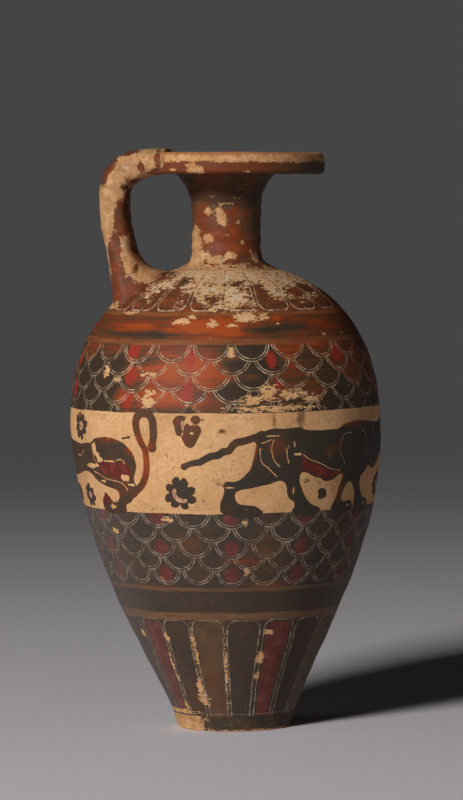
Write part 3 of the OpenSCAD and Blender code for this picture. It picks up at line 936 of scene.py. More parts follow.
def make_foot():
    """The turned foot: a disc with a ring to stand on, a recess within it and a chip at the front left."""
    foot_r, ring_w, recess, lean, edge_round = 12.4, 2.6, 1.3, math.tan(math.radians(9)), 0.4
    edge_r = foot_r - SEAT_Z * lean - edge_round
    ring_r = edge_r - ring_w
    outline = [(0, recess), (ring_r - recess, recess), (ring_r, 0)]
    outline += arc(edge_r, edge_round, edge_round, -90, 0, 6)
    side_r, rise = edge_r + edge_round, SEAT_Z - 0.3 - edge_round
    spread = foot_r + 0.18 - side_r
    outline += [(side_r + spread * t, edge_round + rise * t) for t in np.linspace(0.1, 1, 12)]
    outline += [(foot_r + 0.28, SEAT_Z - 0.1), (foot_r + 0.31, SEAT_Z + 0.05), (0, SEAT_Z + 0.05)]
    foot = turned("foot_ring", outline, steps=240)
    points = points_of(foot)
    angle = angle_of(points[:, 0], points[:, 1])
    radius = np.hypot(points[:, 0], points[:, 1])
    chip = spots(np.degrees(angle) * 0.2, points[:, 2], [(-11.0, 1.9, 5.0, 1.5, 1.0)])
    rough = 0.06 * np.sin(7 * angle + 1) * np.sin(3 * angle) + 0.04 * np.sin(19 * angle + points[:, 2] * 3)
    broken = 0.35 * np.clip(chip - 0.3, 0, 1) * (points[:, 2] > 0.3)
    push = np.where(radius > 9.5, rough * (points[:, 2] > 0.02) - broken, 0)
    push_out(points, angle, push)
    points[:, 0] += sway(points[:, 2])
    move_points(foot, points)
    degrees = np.degrees(angle)
    z = points[:, 2]
    loss = np.maximum(
        np.clip(1.1 - 1.2 * np.abs(degrees + 60) / 62, 0, 1) * (z < SEAT_Z + 0.1),
        along(z, [(0, 0.9), (0.25, 0.6), (0.7, 0.12), (3, 0.05)]),
    )
    paint(foot, "loss", loss)
    paint(foot, "fire", np.full(len(z), 0.12))
    finish(foot, degrees=40, material=flaked_material("worn_foot", uneven=0.3))
    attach(foot, ROOT)
    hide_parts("foot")


# Slip lost from the neck, [angle in degrees, z, half width, half height, strength]
NECK_LOSS = [
    (-27, 107.0, 8, 0.8, 0.95), (-7, 106.2, 8, 1.4, 0.95), (-3, 104.8, 8, 0.7, 0.9),
    (22, 104.9, 9, 0.3, 0.95), (-62, 100.0, 16, 4.0, 1.2), (-52, 97.2, 20, 2.2, 1.2),
    (-30, 101.6, 10, 0.8, 1.0), (-15, 97.2, 16, 0.9, 1.1), (8, 97.9, 12, 0.8, 0.9),
    (52, 97.8, 12, 1.6, 0.75), (-105, 98.0, 26, 3.0, 1.1), (-2, 108.6, 20, 0.35, 0.6),
    (20, 109.8, 12, 0.4, 0.62), (-24, 110.2, 10, 0.3, 0.6), (30, 100.6, 5, 0.5, 0.7),
    (4, 102.2, 4, 0.3, 0.7), (170, 99.0, 40, 3.5, 1.1), (120, 103, 16, 2, 1.0),
]


def make_neck():
    """The thrown neck, with the lip that reaches into the body and a foot that runs out on the shoulder."""
    outline = [(THROAT_R, CAVITY_TOP), (LIP_R, CAVITY_TOP), (LIP_R, NECK_Z - 1.5)]
    low_side = bezier(NECK_LOW_CURVE, np.linspace(0, 1, 40))
    low_side = low_side[low_side[:, 1] > NECK_Z + 1.6]
    spread_r, fold_r = 11.2, 9.6
    joint = [
        (spread_r, float(shoulder_z(spread_r)) + 0.02), (fold_r, float(shoulder_z(fold_r)) + 0.15),
        (low_side[0][0] + 0.3, low_side[0][1] - 1.1), tuple(low_side[0])]
    outline += [(spread_r - 0.4, NECK_Z - 1.5)]
    outline += [tuple(p) for p in bezier(joint, np.linspace(0, 1, 16))[:-1]]
    outline += [tuple(p) for p in low_side]
    outline += [tuple(p) for p in bezier(NECK_TOP_CURVE, np.linspace(0, 1, 34))[1:]]
    outline += [(NECK_TOP_R, PLATE_Z + 0.1), (THROAT_R, PLATE_Z + 0.1), (THROAT_R, CAVITY_TOP)]
    neck = turned("neck_painted", outline, steps=240)
    points = points_of(neck)
    angle = angle_of(points[:, 0], points[:, 1])
    z = points[:, 2]
    outside = np.hypot(points[:, 0], points[:, 1]) > LIP_R + 0.3
    ridges = 0.07 * np.sin(z * 2.3 + angle) + 0.05 * np.sin(z * 1.1 - 2 * angle)
    ridges += 0.06 * np.sin(3 * angle + z * 0.5)
    push = np.where(outside, ridges * (z < PLATE_Z - 0.5) * (z > NECK_Z + 0.5), 0)
    push_out(points, angle, push)
    move_points(neck, points)
    degrees = np.degrees(angle)
    per_mm = FRIEZE_R * math.pi / 180
    places = [(a * per_mm, h, w * per_mm, t, s) for a, h, w, t, s in NECK_LOSS]
    loss = spots(degrees * per_mm, z, places)
    root = along(z, [(NECK_Z - 1, 0.78), (NECK_Z + 0.3, 0.6), (NECK_Z + 1.2, 0.36), (NECK_Z + 2.4, 0)])
    # Painted shade: on the right side, turned from the key light, the slip is darker and the root keeps more
    # of it; the slip is also warmer towards the front
    right = np.clip(np.sin(angle - 0.3), 0, 1)
    paint(neck, "loss", np.maximum(loss, root - 0.3 * right) * outside)
    fire = along(z, [(NECK_Z, 0.52), (99, 0.56), (104, 0.48), (107, 0.44), (109, 0.34), (PLATE_Z, 0.3)])
    paint(neck, "fire", fire + 0.08 * np.cos(angle - 0.2) - 0.22 * right)
    finish(neck, degrees=40, material=flaked_material("neck_slip", speckle=0.3))
    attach(neck, ROOT)
    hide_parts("neck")


def plate_material():
    """The plate: pale worn rim above, red slip below and at the edge, tongues round the mouth on top."""
    material, vector = begin("mouth_plate_slip")
    x, y, z = vector.parts()
    angle = x.math("ARCTAN2", x, -1 * y)
    radius = (x * x + y * y).root()
    loss = attribute(vector, "loss")
    fire = attribute(vector, "fire")
    slip, mottle, grain = slip_look(vector, fire)
    hand = noise(vector, 0.5, 3.0)
    tear = noise(vector, 0.55, 5.0, 0.62)
    tear_fine = noise(vector, 1.7, 5.0, 0.66)
    level = z + x * LEAN + (hand - 0.5) * 1.1 + (tear_fine - 0.5) * 1.6
    top = (z + x * LEAN).step(PLATE_TOP - 0.95, PLATE_TOP - 0.55)
    top = top * (1 - radius.step(RIM_R - 1.0, RIM_R - 0.7))
    petal_start, petal_end, petal_gap, petal_corner = 8.6, 15.6, 0.3, 1.0
    turned_by = angle * (PLATE_TONGUES / (2 * math.pi)) + (hand - 0.5) * 0.1
    past_end = radius - petal_end
    _, _, _, edge = tongue_ring(turned_by, PLATE_TONGUES, radius, past_end, petal_gap, petal_corner)
    petals = (1 - edge.step(-0.1, 0.15)) * radius.step(petal_start, petal_start + 0.3)
    rings = sum(radius.between(inner, outer, 0.1) for inner, outer in PLATE_RINGS)
    drawn = petals.highest(rings.lowest(1.0)) * top
    edge_band = 1 - level.step(PLATE_Z + 2.3, PLATE_Z + 2.6)
    covered = drawn.highest(edge_band * (1 - top))
    clay, clay_height = clay_look(vector, 0.5)
    flaked = (loss + (tear - 0.5) * 1.2 + (tear_fine - 0.5) * 0.8).step(0.46, 0.52)
    bare = (1 - covered).highest(flaked)
    tint = noise(vector, 1.1, 5.0, 0.7).step(0.42, 0.58) * (1 - top) * 0.65
    clay = tint.mix(clay, srgb(RIM_OCHRE))
    rim_line = level.between(PLATE_TOP - 0.55, PLATE_TOP + 0.4, 0.12) * (1 - top)
    clay = (rim_line * 0.6).mix(clay, srgb(RIM_RED))
    colour = bare.mix(slip, clay)
    height = (1 - bare) * 0.9 + clay_height * bare + mottle * 0.3
    roughness = bare * 0.36 + 0.5 + 0.1 * grain
    return end(material, colour, roughness, height, depth=0.08)


def make_plate():
    """The thrown plate: a rounded rim, a flat band, a shallow dish and a rounded mouth."""
    hole_r, mouth_r, dish, band_w, swell = 4.8, 1.4, 0.9, 1.8, 0.06
    low_round, top_round = 1.0, 1.1
    band_r = RIM_R - top_round - band_w
    dish_r = hole_r + mouth_r
    side = PLATE_TOP - PLATE_Z - low_round - top_round
    outline = [(hole_r, PLATE_Z), (NECK_TOP_R - 1, PLATE_Z)]
    outline += [(r, PLATE_Z) for r in np.linspace(NECK_TOP_R, RIM_R - 1.6, 16)]
    outline += arc(RIM_R - low_round, PLATE_Z + low_round, low_round, -90, 0, 9)
    for t in np.linspace(0.12, 0.88, 7):
        outline.append((RIM_R + swell * math.sin(t * math.pi), PLATE_Z + low_round + side * t))
    outline += arc(RIM_R - top_round, PLATE_TOP - top_round, top_round, 0, 90, 9)
    outline += [(r, PLATE_TOP) for r in np.linspace(RIM_R - 1.5, band_r, 4)]
    outline += [(band_r + (dish_r - band_r) * t, PLATE_TOP - dish * t) for t in np.linspace(0.05, 1, 26)]
    outline += arc(dish_r, PLATE_TOP - dish - mouth_r, mouth_r, 90 + math.degrees(0.2), 180, 8)
    outline += [(hole_r, PLATE_Z)]
    plate = turned("mouth_plate_painted", outline, steps=280)
    points = points_of(plate)
    angle = angle_of(points[:, 0], points[:, 1])
    radius = np.hypot(points[:, 0], points[:, 1])
    z = points[:, 2].copy()
    edge = np.clip((radius - 12) / 8, 0, 1)
    rough = 0.1 * np.sin(2 * angle + 0.4) + 0.06 * np.sin(5 * angle) + 0.04 * np.sin(11 * angle + z)
    push_out(points, angle, rough * edge)
    points[:, 2] += -LEAN * points[:, 0] + edge * (0.07 * np.sin(3 * angle + 1.0) + 0.04 * np.sin(8 * angle))
    points[:, 2] += np.where(radius < 17.5, 0.04 * np.sin(radius * 2.6 + angle), 0) * (z > PLATE_Z + 2)
    move_points(plate, points)
    x = angle * RIM_R
    low_edge = spots(x, z, [
        (-5.4, 115.6, 1.8, 0.8, 1.0), (-6.8, 116.6, 1.4, 0.5, 0.9), (-10.6, 115.7, 1.2, 0.3, 0.7),
        (5.0, 115.2, 1.2, 0.3, 0.7), (50, 115.5, 4, 1.2, 0.9), (-40, 116, 4, 1.2, 0.9)])
    top_loss = along(radius, [(5, 0.2), (9, 0.34), (15, 0.4), (18.5, 0.5), (RIM_R, 0.35)])
    paint(plate, "loss", np.where(z > PLATE_TOP - 1.0, top_loss, np.maximum(low_edge, 0.1)))
    # The slip is painted darker towards the right side, +X
    darker_to_right = [(-1, 0.56), (0.1, 0.56), (0.6, 0.46), (0.95, 0.26), (1, 0.22)]
    paint(plate, "fire", along(np.sin(angle), darker_to_right))
    finish(plate, degrees=40, material=plate_material())
    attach(plate, ROOT)
    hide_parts("mouth_plate")


# The handle's middle line in its own plane, [distance from the axis, height]
STRAP_MID_R = RIM_R + STRAP_REACH - STRAP_T / 2
STRAP_TOP_Z = PLATE_TOP + STRAP_LAP_H - STRAP_T / 2
STRAP_BEND_Z = STRAP_TOP_Z - STRAP_BEND_H
STRAP_ROOT_Z = float(shoulder_z(STRAP_ROOT_R))
STRAP_DROP = STRAP_BEND_Z - STRAP_ROOT_Z
STRAP_OVER = [
    (RIM_R - STRAP_LAP, STRAP_TOP_Z),
    (STRAP_MID_R - 0.45 * STRAP_T, STRAP_TOP_Z),
    (STRAP_MID_R, STRAP_TOP_Z - 0.1 * STRAP_T),
    (STRAP_MID_R, STRAP_BEND_Z),
]
STRAP_DOWN = [
    (STRAP_MID_R, STRAP_BEND_Z),
    (STRAP_MID_R, STRAP_BEND_Z - 0.42 * STRAP_DROP),
    (STRAP_ROOT_R, STRAP_ROOT_Z + 0.34 * STRAP_DROP),
    (STRAP_ROOT_R, STRAP_ROOT_Z - 1.8 * STRAP_T),
]
BEND_SHARE = 0.4


def ease(t):
    t = np.clip(t, 0, 1)
    return t * t * (3 - 2 * t)


def fillet(height, radius):
    """What a fillet adds at a height above the face that it runs into."""
    rest = np.clip(radius - height, 0, radius)
    return radius - np.sqrt(radius * radius - rest * rest)


def make_handle():
    """The pulled strap: a straight bar of clay, bent over the rim and down to the shoulder."""
    rings, sides = 150, 96
    handle = fresh("grid", "strap_handle", x_subdivisions=rings, y_subdivisions=sides, size=2)
    points = points_of(handle)
    s = np.clip((points[:, 0] + 1) / 2, 0, 1)
    turn = (points[:, 1] + 1) * math.pi
    before = (s < BEND_SHARE)[:, None]
    over = np.clip(s / BEND_SHARE, 0, 1)
    down = np.clip((s - BEND_SHARE) / (1 - BEND_SHARE), 0, 1)
    middle = np.where(before, bezier(STRAP_OVER, over), bezier(STRAP_DOWN, down))
    heading = np.where(before, bezier_heading(STRAP_OVER, over), bezier_heading(STRAP_DOWN, down))
    out = np.stack([-heading[:, 1], heading[:, 0]], 1)
    root_share = ease((s - 0.58) / 0.42)
    wrap_r = RIM_R + STRAP_WRAP_T
    wrap = np.sqrt(np.clip(wrap_r ** 2 - middle[:, 0] ** 2, 0, None))
    plain = STRAP_W / 2 + root_share * (STRAP_ROOT_W - STRAP_W) / 2
    soft = 3 * wrap / wrap_r
    lap = middle[:, 0] - STRAP_OVER[0][0]
    half_w = (plain + wrap + np.sqrt((plain - wrap) ** 2 + soft ** 2)) / 2 - fillet(lap, STRAP_TIP_ROUND)
    above_out = middle[:, 1] - shoulder_z(STRAP_ROOT_R + STRAP_T / 2)
    above_in = middle[:, 1] - shoulder_z(STRAP_ROOT_R - STRAP_FILLET_IN)
    outer = STRAP_T / 2 + fillet(above_out, STRAP_FILLET_OUT) - fillet(lap, STRAP_LAP_H)
    bend = np.clip(s / BEND_SHARE, 0, 1)
    inner = STRAP_T / 2 + (STRAP_BEND_T - STRAP_T) * 4 * bend * (1 - bend) + fillet(above_in, STRAP_FILLET_IN)
    inner -= (1 - ease(s / 0.2)) * (STRAP_T - (PLATE_TOP - PLATE_Z) - STRAP_LAP_H)
    corner = STRAP_CORNER + (2 - STRAP_CORNER) * root_share
    half_t = np.where(np.cos(turn) > 0, outer, inner)
    u = half_t * np.sign(np.cos(turn)) * np.abs(np.cos(turn)) ** (2 / corner)
    v = half_w * np.sign(np.sin(turn)) * np.abs(np.sin(turn)) ** (2 / corner)
    place = middle + u[:, None] * out
    shaped = np.stack([-place[:, 0], v, place[:, 1]], 1)
    lump = 0.16 * np.sin(s * 21 + turn) * np.sin(2 * turn + s * 9)
    lump += 0.1 * np.sin(s * 47 + 3 * turn) * np.sin(s * 31)
    shaped[:, 1] += lump * v / half_w
    stand = lump * u / half_t * ease((s - 0.12) / 0.08)
    shaped[:, 0] -= 0.8 * stand * out[:, 0]
    shaped[:, 2] += 0.6 * stand * out[:, 1]
    shaped[:, 2] -= LEAN * shaped[:, 0] * ease((shaped[:, 2] - 104) / 8)
    move_points(handle, shaped)
    bpy.ops.object.mode_set(mode="EDIT")
    bpy.ops.mesh.select_all(action="SELECT")
    bpy.ops.mesh.remove_doubles(threshold=0.004)
    bpy.ops.mesh.select_all(action="DESELECT")
    bpy.ops.mesh.select_mode(type="EDGE")
    bpy.ops.mesh.select_non_manifold()
    bpy.ops.mesh.edge_face_add()
    bpy.ops.mesh.select_all(action="SELECT")
    bpy.ops.mesh.normals_make_consistent(inside=False)
    bpy.ops.mesh.select_mode(type="VERT")
    bpy.ops.object.mode_set(mode="OBJECT")
    points = points_of(handle)
    paint(handle, "loss", handle_loss(points))
    paint(handle, "fire", 0.54 + 0.08 * np.clip((99 - points[:, 2]) / 12, 0, 1))
    finish(handle, degrees=50, material=flaked_material("handle_clay", speckle=0.35))
    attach(handle, ROOT)
    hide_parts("handle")


# Slip left on the handle, [x, z, half width, half height, strength] as seen from the front
HANDLE_KEPT = [
    (-21.4, 119.6, 2.8, 0.7, 1.1), (-23.8, 117.4, 1.3, 1.6, 1.1), (-25.2, 114.8, 0.8, 1.9, 1.0),
    (-18.3, 113.4, 0.9, 0.5, 1.0), (-16.8, 116.4, 0.7, 1.0, 0.95), (-13.6, 115.4, 0.8, 0.6, 1.0),
    (-22.6, 118.0, 0.5, 0.5, 0.9), (-20.6, 112.2, 0.6, 0.5, 0.9), (-21.3, 105.8, 1.1, 2.7, 1.2),
    (-20.2, 109.6, 0.5, 1.6, 0.9), (-22.8, 98.9, 1.0, 3.2, 1.2), (-22.0, 94.2, 1.2, 2.0, 1.1),
    (-21.2, 91.2, 2.0, 2.0, 1.1), (-18.4, 89.4, 1.2, 0.8, 1.0), (-17.4, 91.6, 1.4, 0.7, 1.0),
    (-13.2, 118.0, 0.5, 1.6, 0.95), (-18.4, 95.2, 0.5, 0.9, 0.8),
]


def handle_loss(points):
    """The front edge follows the photograph, the outer face and the back keep more slip."""
    kept = spots(points[:, 0], points[:, 2], HANDLE_KEPT)
    across = points[:, 1]
    far = spots(across, points[:, 2], [
        (2.0, 104, 3.5, 5.0, 1.0), (5.5, 96, 3.0, 5.0, 1.0), (-1.5, 92, 5.0, 3.0, 1.0),
        (4.5, 112, 2.5, 3.0, 0.9), (-1.0, 117.4, 2.5, 1.3, 0.9)])
    front = across < -2.0
    depth = np.where(front, kept, far * (across > -4))
    base = np.where(points[:, 2] < 94, 0.72, 0.86)
    inner = (points[:, 0] > -21.0) & (points[:, 2] < 112) & (points[:, 2] > 98.5) & (across > -5.5)
    return np.clip(base - depth - 0.45 * inner, 0, 1)


# The painted figures
def strip(points, widths):
    """The outline of a brush stroke along the points, with a width at each."""
    p = np.array(points, float)
    w = np.interp(np.linspace(0, 1, len(p)), np.linspace(0, 1, len(widths)), widths) / 2
    d = np.gradient(p, axis=0)
    d /= np.linalg.norm(d, axis=1)[:, None]
    side = np.stack([-d[:, 1], d[:, 0]], 1) * w[:, None]
    return [tuple(q) for q in np.concatenate([p + side, (p - side)[::-1]])]


def slot(*points):
    """An incised line through the slip."""
    return strip(points, [LINE_W * 0.6, LINE_W, LINE_W, LINE_W * 0.6])


def incised(lines):
    return [slot(*line) for line in lines]


def rosette(x, z, radius, petals, depth=0.14, turn=0.0):
    """A dot rosette painted as one blot with lobes."""
    steps = petals * 6
    found = []
    for k in range(steps):
        a = 2 * math.pi * k / steps + turn
        lobe = abs(math.cos(petals * (a - turn) / 2)) ** 0.6
        size = 1 + 0.07 * math.sin(3.1 * a + x) + 0.05 * math.sin(5.3 * a + z)
        r = radius * size * (1 - 2 * depth + 2 * depth * lobe)
        found.append((x + r * math.cos(a), z + r * math.sin(a)))
    return found


def open_rim(layer):
    """1 for the points on the outline of a flat layer, 0 for those within."""
    sides = np.empty(len(layer.data.loops), int)
    layer.data.loops.foreach_get("edge_index", sides)
    ends = np.empty(len(layer.data.edges) * 2, int)
    layer.data.edges.foreach_get("vertices", ends)
    alone = np.bincount(sides, minlength=len(layer.data.edges)) < 2
    found = np.zeros(len(layer.data.vertices))
    found[ends.reshape(-1, 2)[alone]] = 1
    return found


def painted(name, outlines, material, level, loss=(), fire=0.12, fire_spots=()):
    """Fills outlines, where one inside another is a gap, and lays them on the wall as a layer of slip.

    The level is how many coats deep it lies. Cuts a cell apart let the flat layer bend round the wall.
    """
    cell = 1.2
    bpy.ops.object.select_all(action="DESELECT")
    bpy.ops.object.add(type="CURVE")
    shape = bpy.context.object
    shape.data.dimensions = "2D"
    shape.data.fill_mode = "BOTH"
    shape.data.resolution_u = 5
    for outline in outlines:
        spline = shape.data.splines.new("BEZIER")
        spline.bezier_points.add(len(outline) - 1)
        spline.use_cyclic_u = True
        for point, (px, pz) in zip(spline.bezier_points, outline):
            point.co = (px, pz, 0)
            point.handle_left_type = point.handle_right_type = "AUTO"
    bpy.ops.object.convert(target="MESH")
    layer = bpy.context.object
    layer.name = name
    layer.data.name = name
    flat = points_of(layer)
    bpy.ops.object.mode_set(mode="EDIT")
    for axis, normal in ((0, (1, 0, 0)), (1, (0, 1, 0))):
        lowest, highest = flat[:, axis].min(), flat[:, axis].max()
        for cut in np.arange(math.ceil(lowest / cell) * cell, highest, cell):
            bpy.ops.mesh.select_all(action="SELECT")
            bpy.ops.mesh.bisect(plane_co=(cut, cut, 0), plane_no=normal)
    bpy.ops.mesh.select_all(action="SELECT")
    bpy.ops.mesh.remove_doubles(threshold=0.004)
    bpy.ops.object.mode_set(mode="OBJECT")
    paint(layer, "rim", open_rim(layer))
    flat = points_of(layer)
    x, z = flat[:, 0].copy(), flat[:, 1].copy()
    angle = (x + FRONT_X - sway(z)) / FRIEZE_R
    radius = body_radius(z) + unevenness(angle, z) + SLIP_T * level
    move_points(layer, np.stack([radius * np.sin(angle) + sway(z), -radius * np.cos(angle), z], 1))
    bpy.ops.object.mode_set(mode="EDIT")
    bpy.ops.mesh.select_all(action="SELECT")
    bpy.ops.mesh.normals_make_consistent(inside=False)
    bpy.ops.object.mode_set(mode="OBJECT")
    facing = sum(f.normal.x * f.center.x + f.normal.y * f.center.y for f in layer.data.polygons)
    if facing < 0:
        layer.data.flip_normals()
    thick = layer.modifiers.new("slip", "SOLIDIFY")
    thick.thickness = SLIP_T * 0.9
    thick.offset = -1
    bpy.ops.object.modifier_apply(modifier="slip")
    points = points_of(layer)
    points[:, 0] -= sway(points[:, 2])
    x = frieze_x(points)
    paint(layer, "loss", spots(x, points[:, 2], loss))
    paint(layer, "fire", np.maximum(fire, spots(x, points[:, 2], fire_spots)))
    finish(layer, degrees=30, material=material)
    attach(layer, ROOT)


# The feline that walks to the right
RIGHT_BEAST = [
    (5.0, 62.2), (6.8, 63.1), (7.9, 63.5), (9.3, 63.7), (10.6, 63.6), (13.1, 63.7), (14.3, 63.8),
    (15.6, 63.3), (18.1, 63.0), (21.8, 63.0), (23.8, 63.1), (25.6, 63.9), (27.6, 64.25), (30.6, 64.4),
    (34.1, 64.1), (38.6, 63.7), (42.5, 63.8), (45.0, 64.6), (46.2, 66.0), (47.4, 66.1), (48.1, 65.0),
    (49.6, 65.0), (50.4, 66.1), (51.6, 65.9), (52.0, 64.2), (53.1, 61.8), (52.5, 59.2), (50.9, 57.3),
    (48.8, 56.4), (46.2, 56.9), (42.6, 56.6), (39.4, 54.8), (36.8, 54.2), (35.3, 55.0), (33.8, 54.0),
    (31.8, 52.5), (32.0, 51.2), (32.4, 50.3), (33.1, 49.2), (34.4, 48.4), (36.4, 47.9), (37.1, 46.7),
    (30.6, 46.7), (30.35, 48.0), (30.3, 49.0), (29.95, 50.25), (29.1, 51.5), (27.95, 52.1), (27.0, 51.6),
    (26.2, 50.4), (25.7, 48.9), (26.6, 48.1), (28.6, 48.2), (29.7, 47.6), (29.9, 46.7), (23.2, 46.7),
    (23.5, 47.8), (24.1, 49.0), (24.6, 51.0), (25.2, 52.5), (25.4, 53.6), (24.3, 53.75), (23.3, 53.1),
    (21.8, 52.6), (20.6, 52.6), (19.3, 53.25), (17.6, 53.75), (15.8, 54.6), (14.8, 54.5), (14.5, 53.6),
    (14.6, 52.6), (15.1, 51.5), (15.7, 50.25), (16.6, 49.0), (17.8, 48.0), (19.6, 47.3), (20.2, 46.7),
    (13.3, 46.7), (13.75, 47.6), (13.5, 48.7), (12.6, 49.25), (11.95, 50.5), (11.8, 51.75), (11.2, 52.75),
    (10.3, 53.1), (9.3, 52.9), (8.2, 52.5), (6.6, 52.2), (4.3, 51.7), (2.0, 51.3), (1.3, 50.8), (1.2, 49.9),
    (1.55, 49.0), (2.25, 48.5), (3.8, 48.2), (5.4, 48.0), (6.3, 47.4), (7.0, 46.7), (-1.55, 46.7),
    (-1.85, 47.9), (-1.75, 48.8), (-1.3, 49.9), (-0.95, 51.3), (-1.1, 52.5), (-0.5, 53.1), (0.9, 53.1),
    (2.2, 53.5), (3.25, 54.5), (4.2, 55.6), (4.7, 57.2), (5.1, 59.2), (5.3, 60.6), (4.7, 61.5),
]
RIGHT_LINES = [
    [(6.1, 59.75), (6.2, 58.0), (6.6, 56.75), (7.6, 55.9), (8.6, 54.9), (9.6, 53.9)],
    [(8.9, 61.55), (8.45, 60.25), (8.6, 58.25), (9.3, 56.75), (10.2, 55.9)],
    [(11.5, 59.75), (11.7, 57.75), (12.1, 56.5)],
    [(13.1, 61.0), (13.2, 59.75)],
    [(13.3, 51.75), (13.3, 50.25)],
    [(15.1, 58.25), (16.8, 57.1), (18.3, 56.6), (19.8, 56.0), (21.3, 55.25), (23.3, 54.75), (24.6, 54.5)],
    [(28.0, 62.05), (26.1, 62.0), (25.1, 61.5), (24.5, 60.25), (24.3, 58.5), (25.3, 57.0), (25.8, 55.7)],
    [(6.3, 60.75), (7.4, 61.1), (8.3, 61.5)],
    [(31.5, 62.6), (33.4, 61.0), (34.0, 58.6), (33.2, 56.6)],
    [(36.5, 62.6), (38.0, 60.6), (38.3, 58.2)],
    [(45.4, 63.6), (46.5, 61.5), (46.6, 59.0), (47.5, 57.6)],
    [(47.8, 62.3), (48.6, 62.7), (49.2, 62.2)],
    [(50.5, 62.2), (51.2, 62.6), (51.7, 62.0)],
    [(49.9, 61.4), (49.7, 59.9), (50.2, 59.3), (50.6, 59.9)],
    [(48.6, 58.2), (50.0, 57.9), (51.2, 58.3)],
    [(48.8, 57.2), (50.2, 57.4)],
    [(34.6, 47.3), (36.0, 47.2)],
    [(27.6, 47.2), (29.0, 47.2)],
]
RIGHT_TAIL = [
    (-9.2, 55.95), (-7.9, 56.6), (-6.75, 56.95), (-5.7, 57.1), (-4.5, 57.8), (-3.35, 58.3), (-2.1, 58.5),
    (-1.05, 59.2), (0.05, 59.45), (0.65, 60.25), (1.45, 61.0), (2.45, 61.2), (3.6, 61.5), (5.4, 62.1),
    (7.0, 62.6),
]

# The beast that walks to the left
LEFT_BEAST = [
    (-41.0, 60.1), (-36.5, 59.9), (-34.5, 60.2), (-32.6, 60.3), (-31.0, 61.2), (-29.4, 61.5), (-26.7, 61.7),
    (-24.4, 61.4), (-22.6, 60.8), (-21.0, 59.7), (-19.9, 58.4), (-19.4, 57.0), (-19.4, 55.4), (-19.9, 54.2),
    (-20.2, 53.2), (-19.9, 52.3), (-19.6, 51.4), (-20.1, 50.3), (-20.9, 49.4), (-21.9, 48.5), (-23.1, 48.0),
    (-23.35, 47.3), (-23.4, 46.7), (-30.6, 46.7), (-30.9, 47.9), (-30.1, 49.3), (-28.9, 49.8),
    (-27.9, 49.3), (-27.3, 48.5), (-26.4, 48.3), (-25.3, 48.85), (-24.75, 49.6), (-24.8, 50.4),
    (-25.5, 50.95), (-27.2, 51.35), (-30.2, 52.1), (-32.0, 52.9), (-33.4, 53.8), (-36.0, 54.3),
    (-40.0, 53.6), (-45.0, 53.0), (-49.6, 53.5), (-50.8, 52.2), (-50.6, 50.0), (-49.4, 48.4), (-49.0, 46.7),
    (-55.0, 46.7), (-54.8, 47.7), (-53.6, 48.4), (-53.4, 50.0), (-54.0, 51.8), (-55.2, 52.5), (-56.6, 51.8),
    (-57.6, 50.0), (-57.8, 48.4), (-57.2, 46.7), (-63.2, 46.7), (-63.0, 47.7), (-61.6, 48.5), (-60.6, 50.4),
    (-60.2, 52.6), (-60.6, 55.0), (-62.0, 56.6), (-64.4, 56.6), (-66.6, 57.2), (-68.0, 58.8), (-67.6, 60.6),
    (-65.8, 62.0), (-64.4, 63.4), (-63.4, 65.4), (-62.0, 65.6), (-60.8, 64.2), (-57.0, 64.3), (-52.0, 62.2),
    (-46.5, 60.6),
]
LEFT_LINES = [
    [(-32.4, 54.5), (-29.9, 53.8), (-28.0, 53.1), (-25.3, 52.8), (-23.1, 52.2), (-22.1, 50.9)],
    [(-24.3, 57.0), (-23.3, 57.3), (-22.4, 56.9), (-22.1, 56.0)],
    [(-31.4, 60.0), (-31.9, 58.4), (-31.2, 56.6), (-29.6, 55.4)],
    [(-36.0, 58.8), (-38.0, 57.4), (-40.0, 57.6)],
    [(-51.4, 61.0), (-53.2, 59.0), (-53.0, 56.2), (-51.6, 54.6)],
    [(-56.4, 63.2), (-58.6, 60.6), (-58.8, 57.6), (-57.4, 55.2)],
    [(-59.8, 62.8), (-61.4, 60.8), (-61.6, 58.4)],
    [(-64.9, 61.3), (-64.3, 61.0), (-63.7, 61.3)],
    [(-67.0, 59.0), (-65.6, 58.8), (-64.2, 59.2)],
    [(-44.0, 59.2), (-44.8, 57.0), (-44.4, 55.0)],
    [(-47.4, 59.6), (-48.2, 57.2), (-47.8, 55.2)],
]
LEFT_TAIL = [
    (-21.4, 50.2), (-19.6, 51.2), (-18.6, 52.0), (-17.8, 53.0), (-17.1, 54.5), (-16.8, 56.0),
    (-16.85, 58.0), (-17.1, 59.5), (-17.9, 61.0), (-18.5, 62.5), (-18.9, 64.0), (-18.9, 65.4),
    (-18.2, 66.5), (-17.1, 66.9), (-15.9, 66.5), (-15.2, 65.4), (-15.07, 64.0), (-15.0, 62.5),
    (-15.25, 61.0), (-15.6, 59.3),
]

# The goat and the water bird on the far side
GOAT = [
    (62.5, 52.6), (60.8, 50.4), (60.4, 48.2), (59.6, 46.7), (63.4, 46.7), (63.2, 48.0), (63.8, 50.2),
    (65.4, 51.8), (67.2, 51.2), (68.0, 49.2), (67.8, 47.6), (67.2, 46.7), (71.0, 46.7), (70.6, 48.2),
    (70.8, 50.4), (72.4, 52.8), (77.0, 53.4), (82.0, 53.0), (83.8, 51.0), (83.4, 48.6), (82.6, 46.7),
    (86.4, 46.7), (86.0, 48.4), (86.4, 50.8), (87.8, 51.6), (89.0, 50.2), (89.2, 48.4), (88.8, 46.7),
    (92.6, 46.7), (92.0, 48.6), (92.2, 51.4), (93.4, 54.8), (93.2, 58.4), (94.4, 60.2), (93.2, 61.0),
    (91.4, 60.6), (87.0, 61.0), (80.0, 60.0), (74.0, 60.4), (69.6, 61.2), (66.4, 60.4), (63.6, 57.4),
    (60.6, 54.8), (58.2, 52.6), (56.2, 51.0), (55.6, 49.6), (56.8, 49.0), (59.2, 50.2), (61.2, 51.8),
]
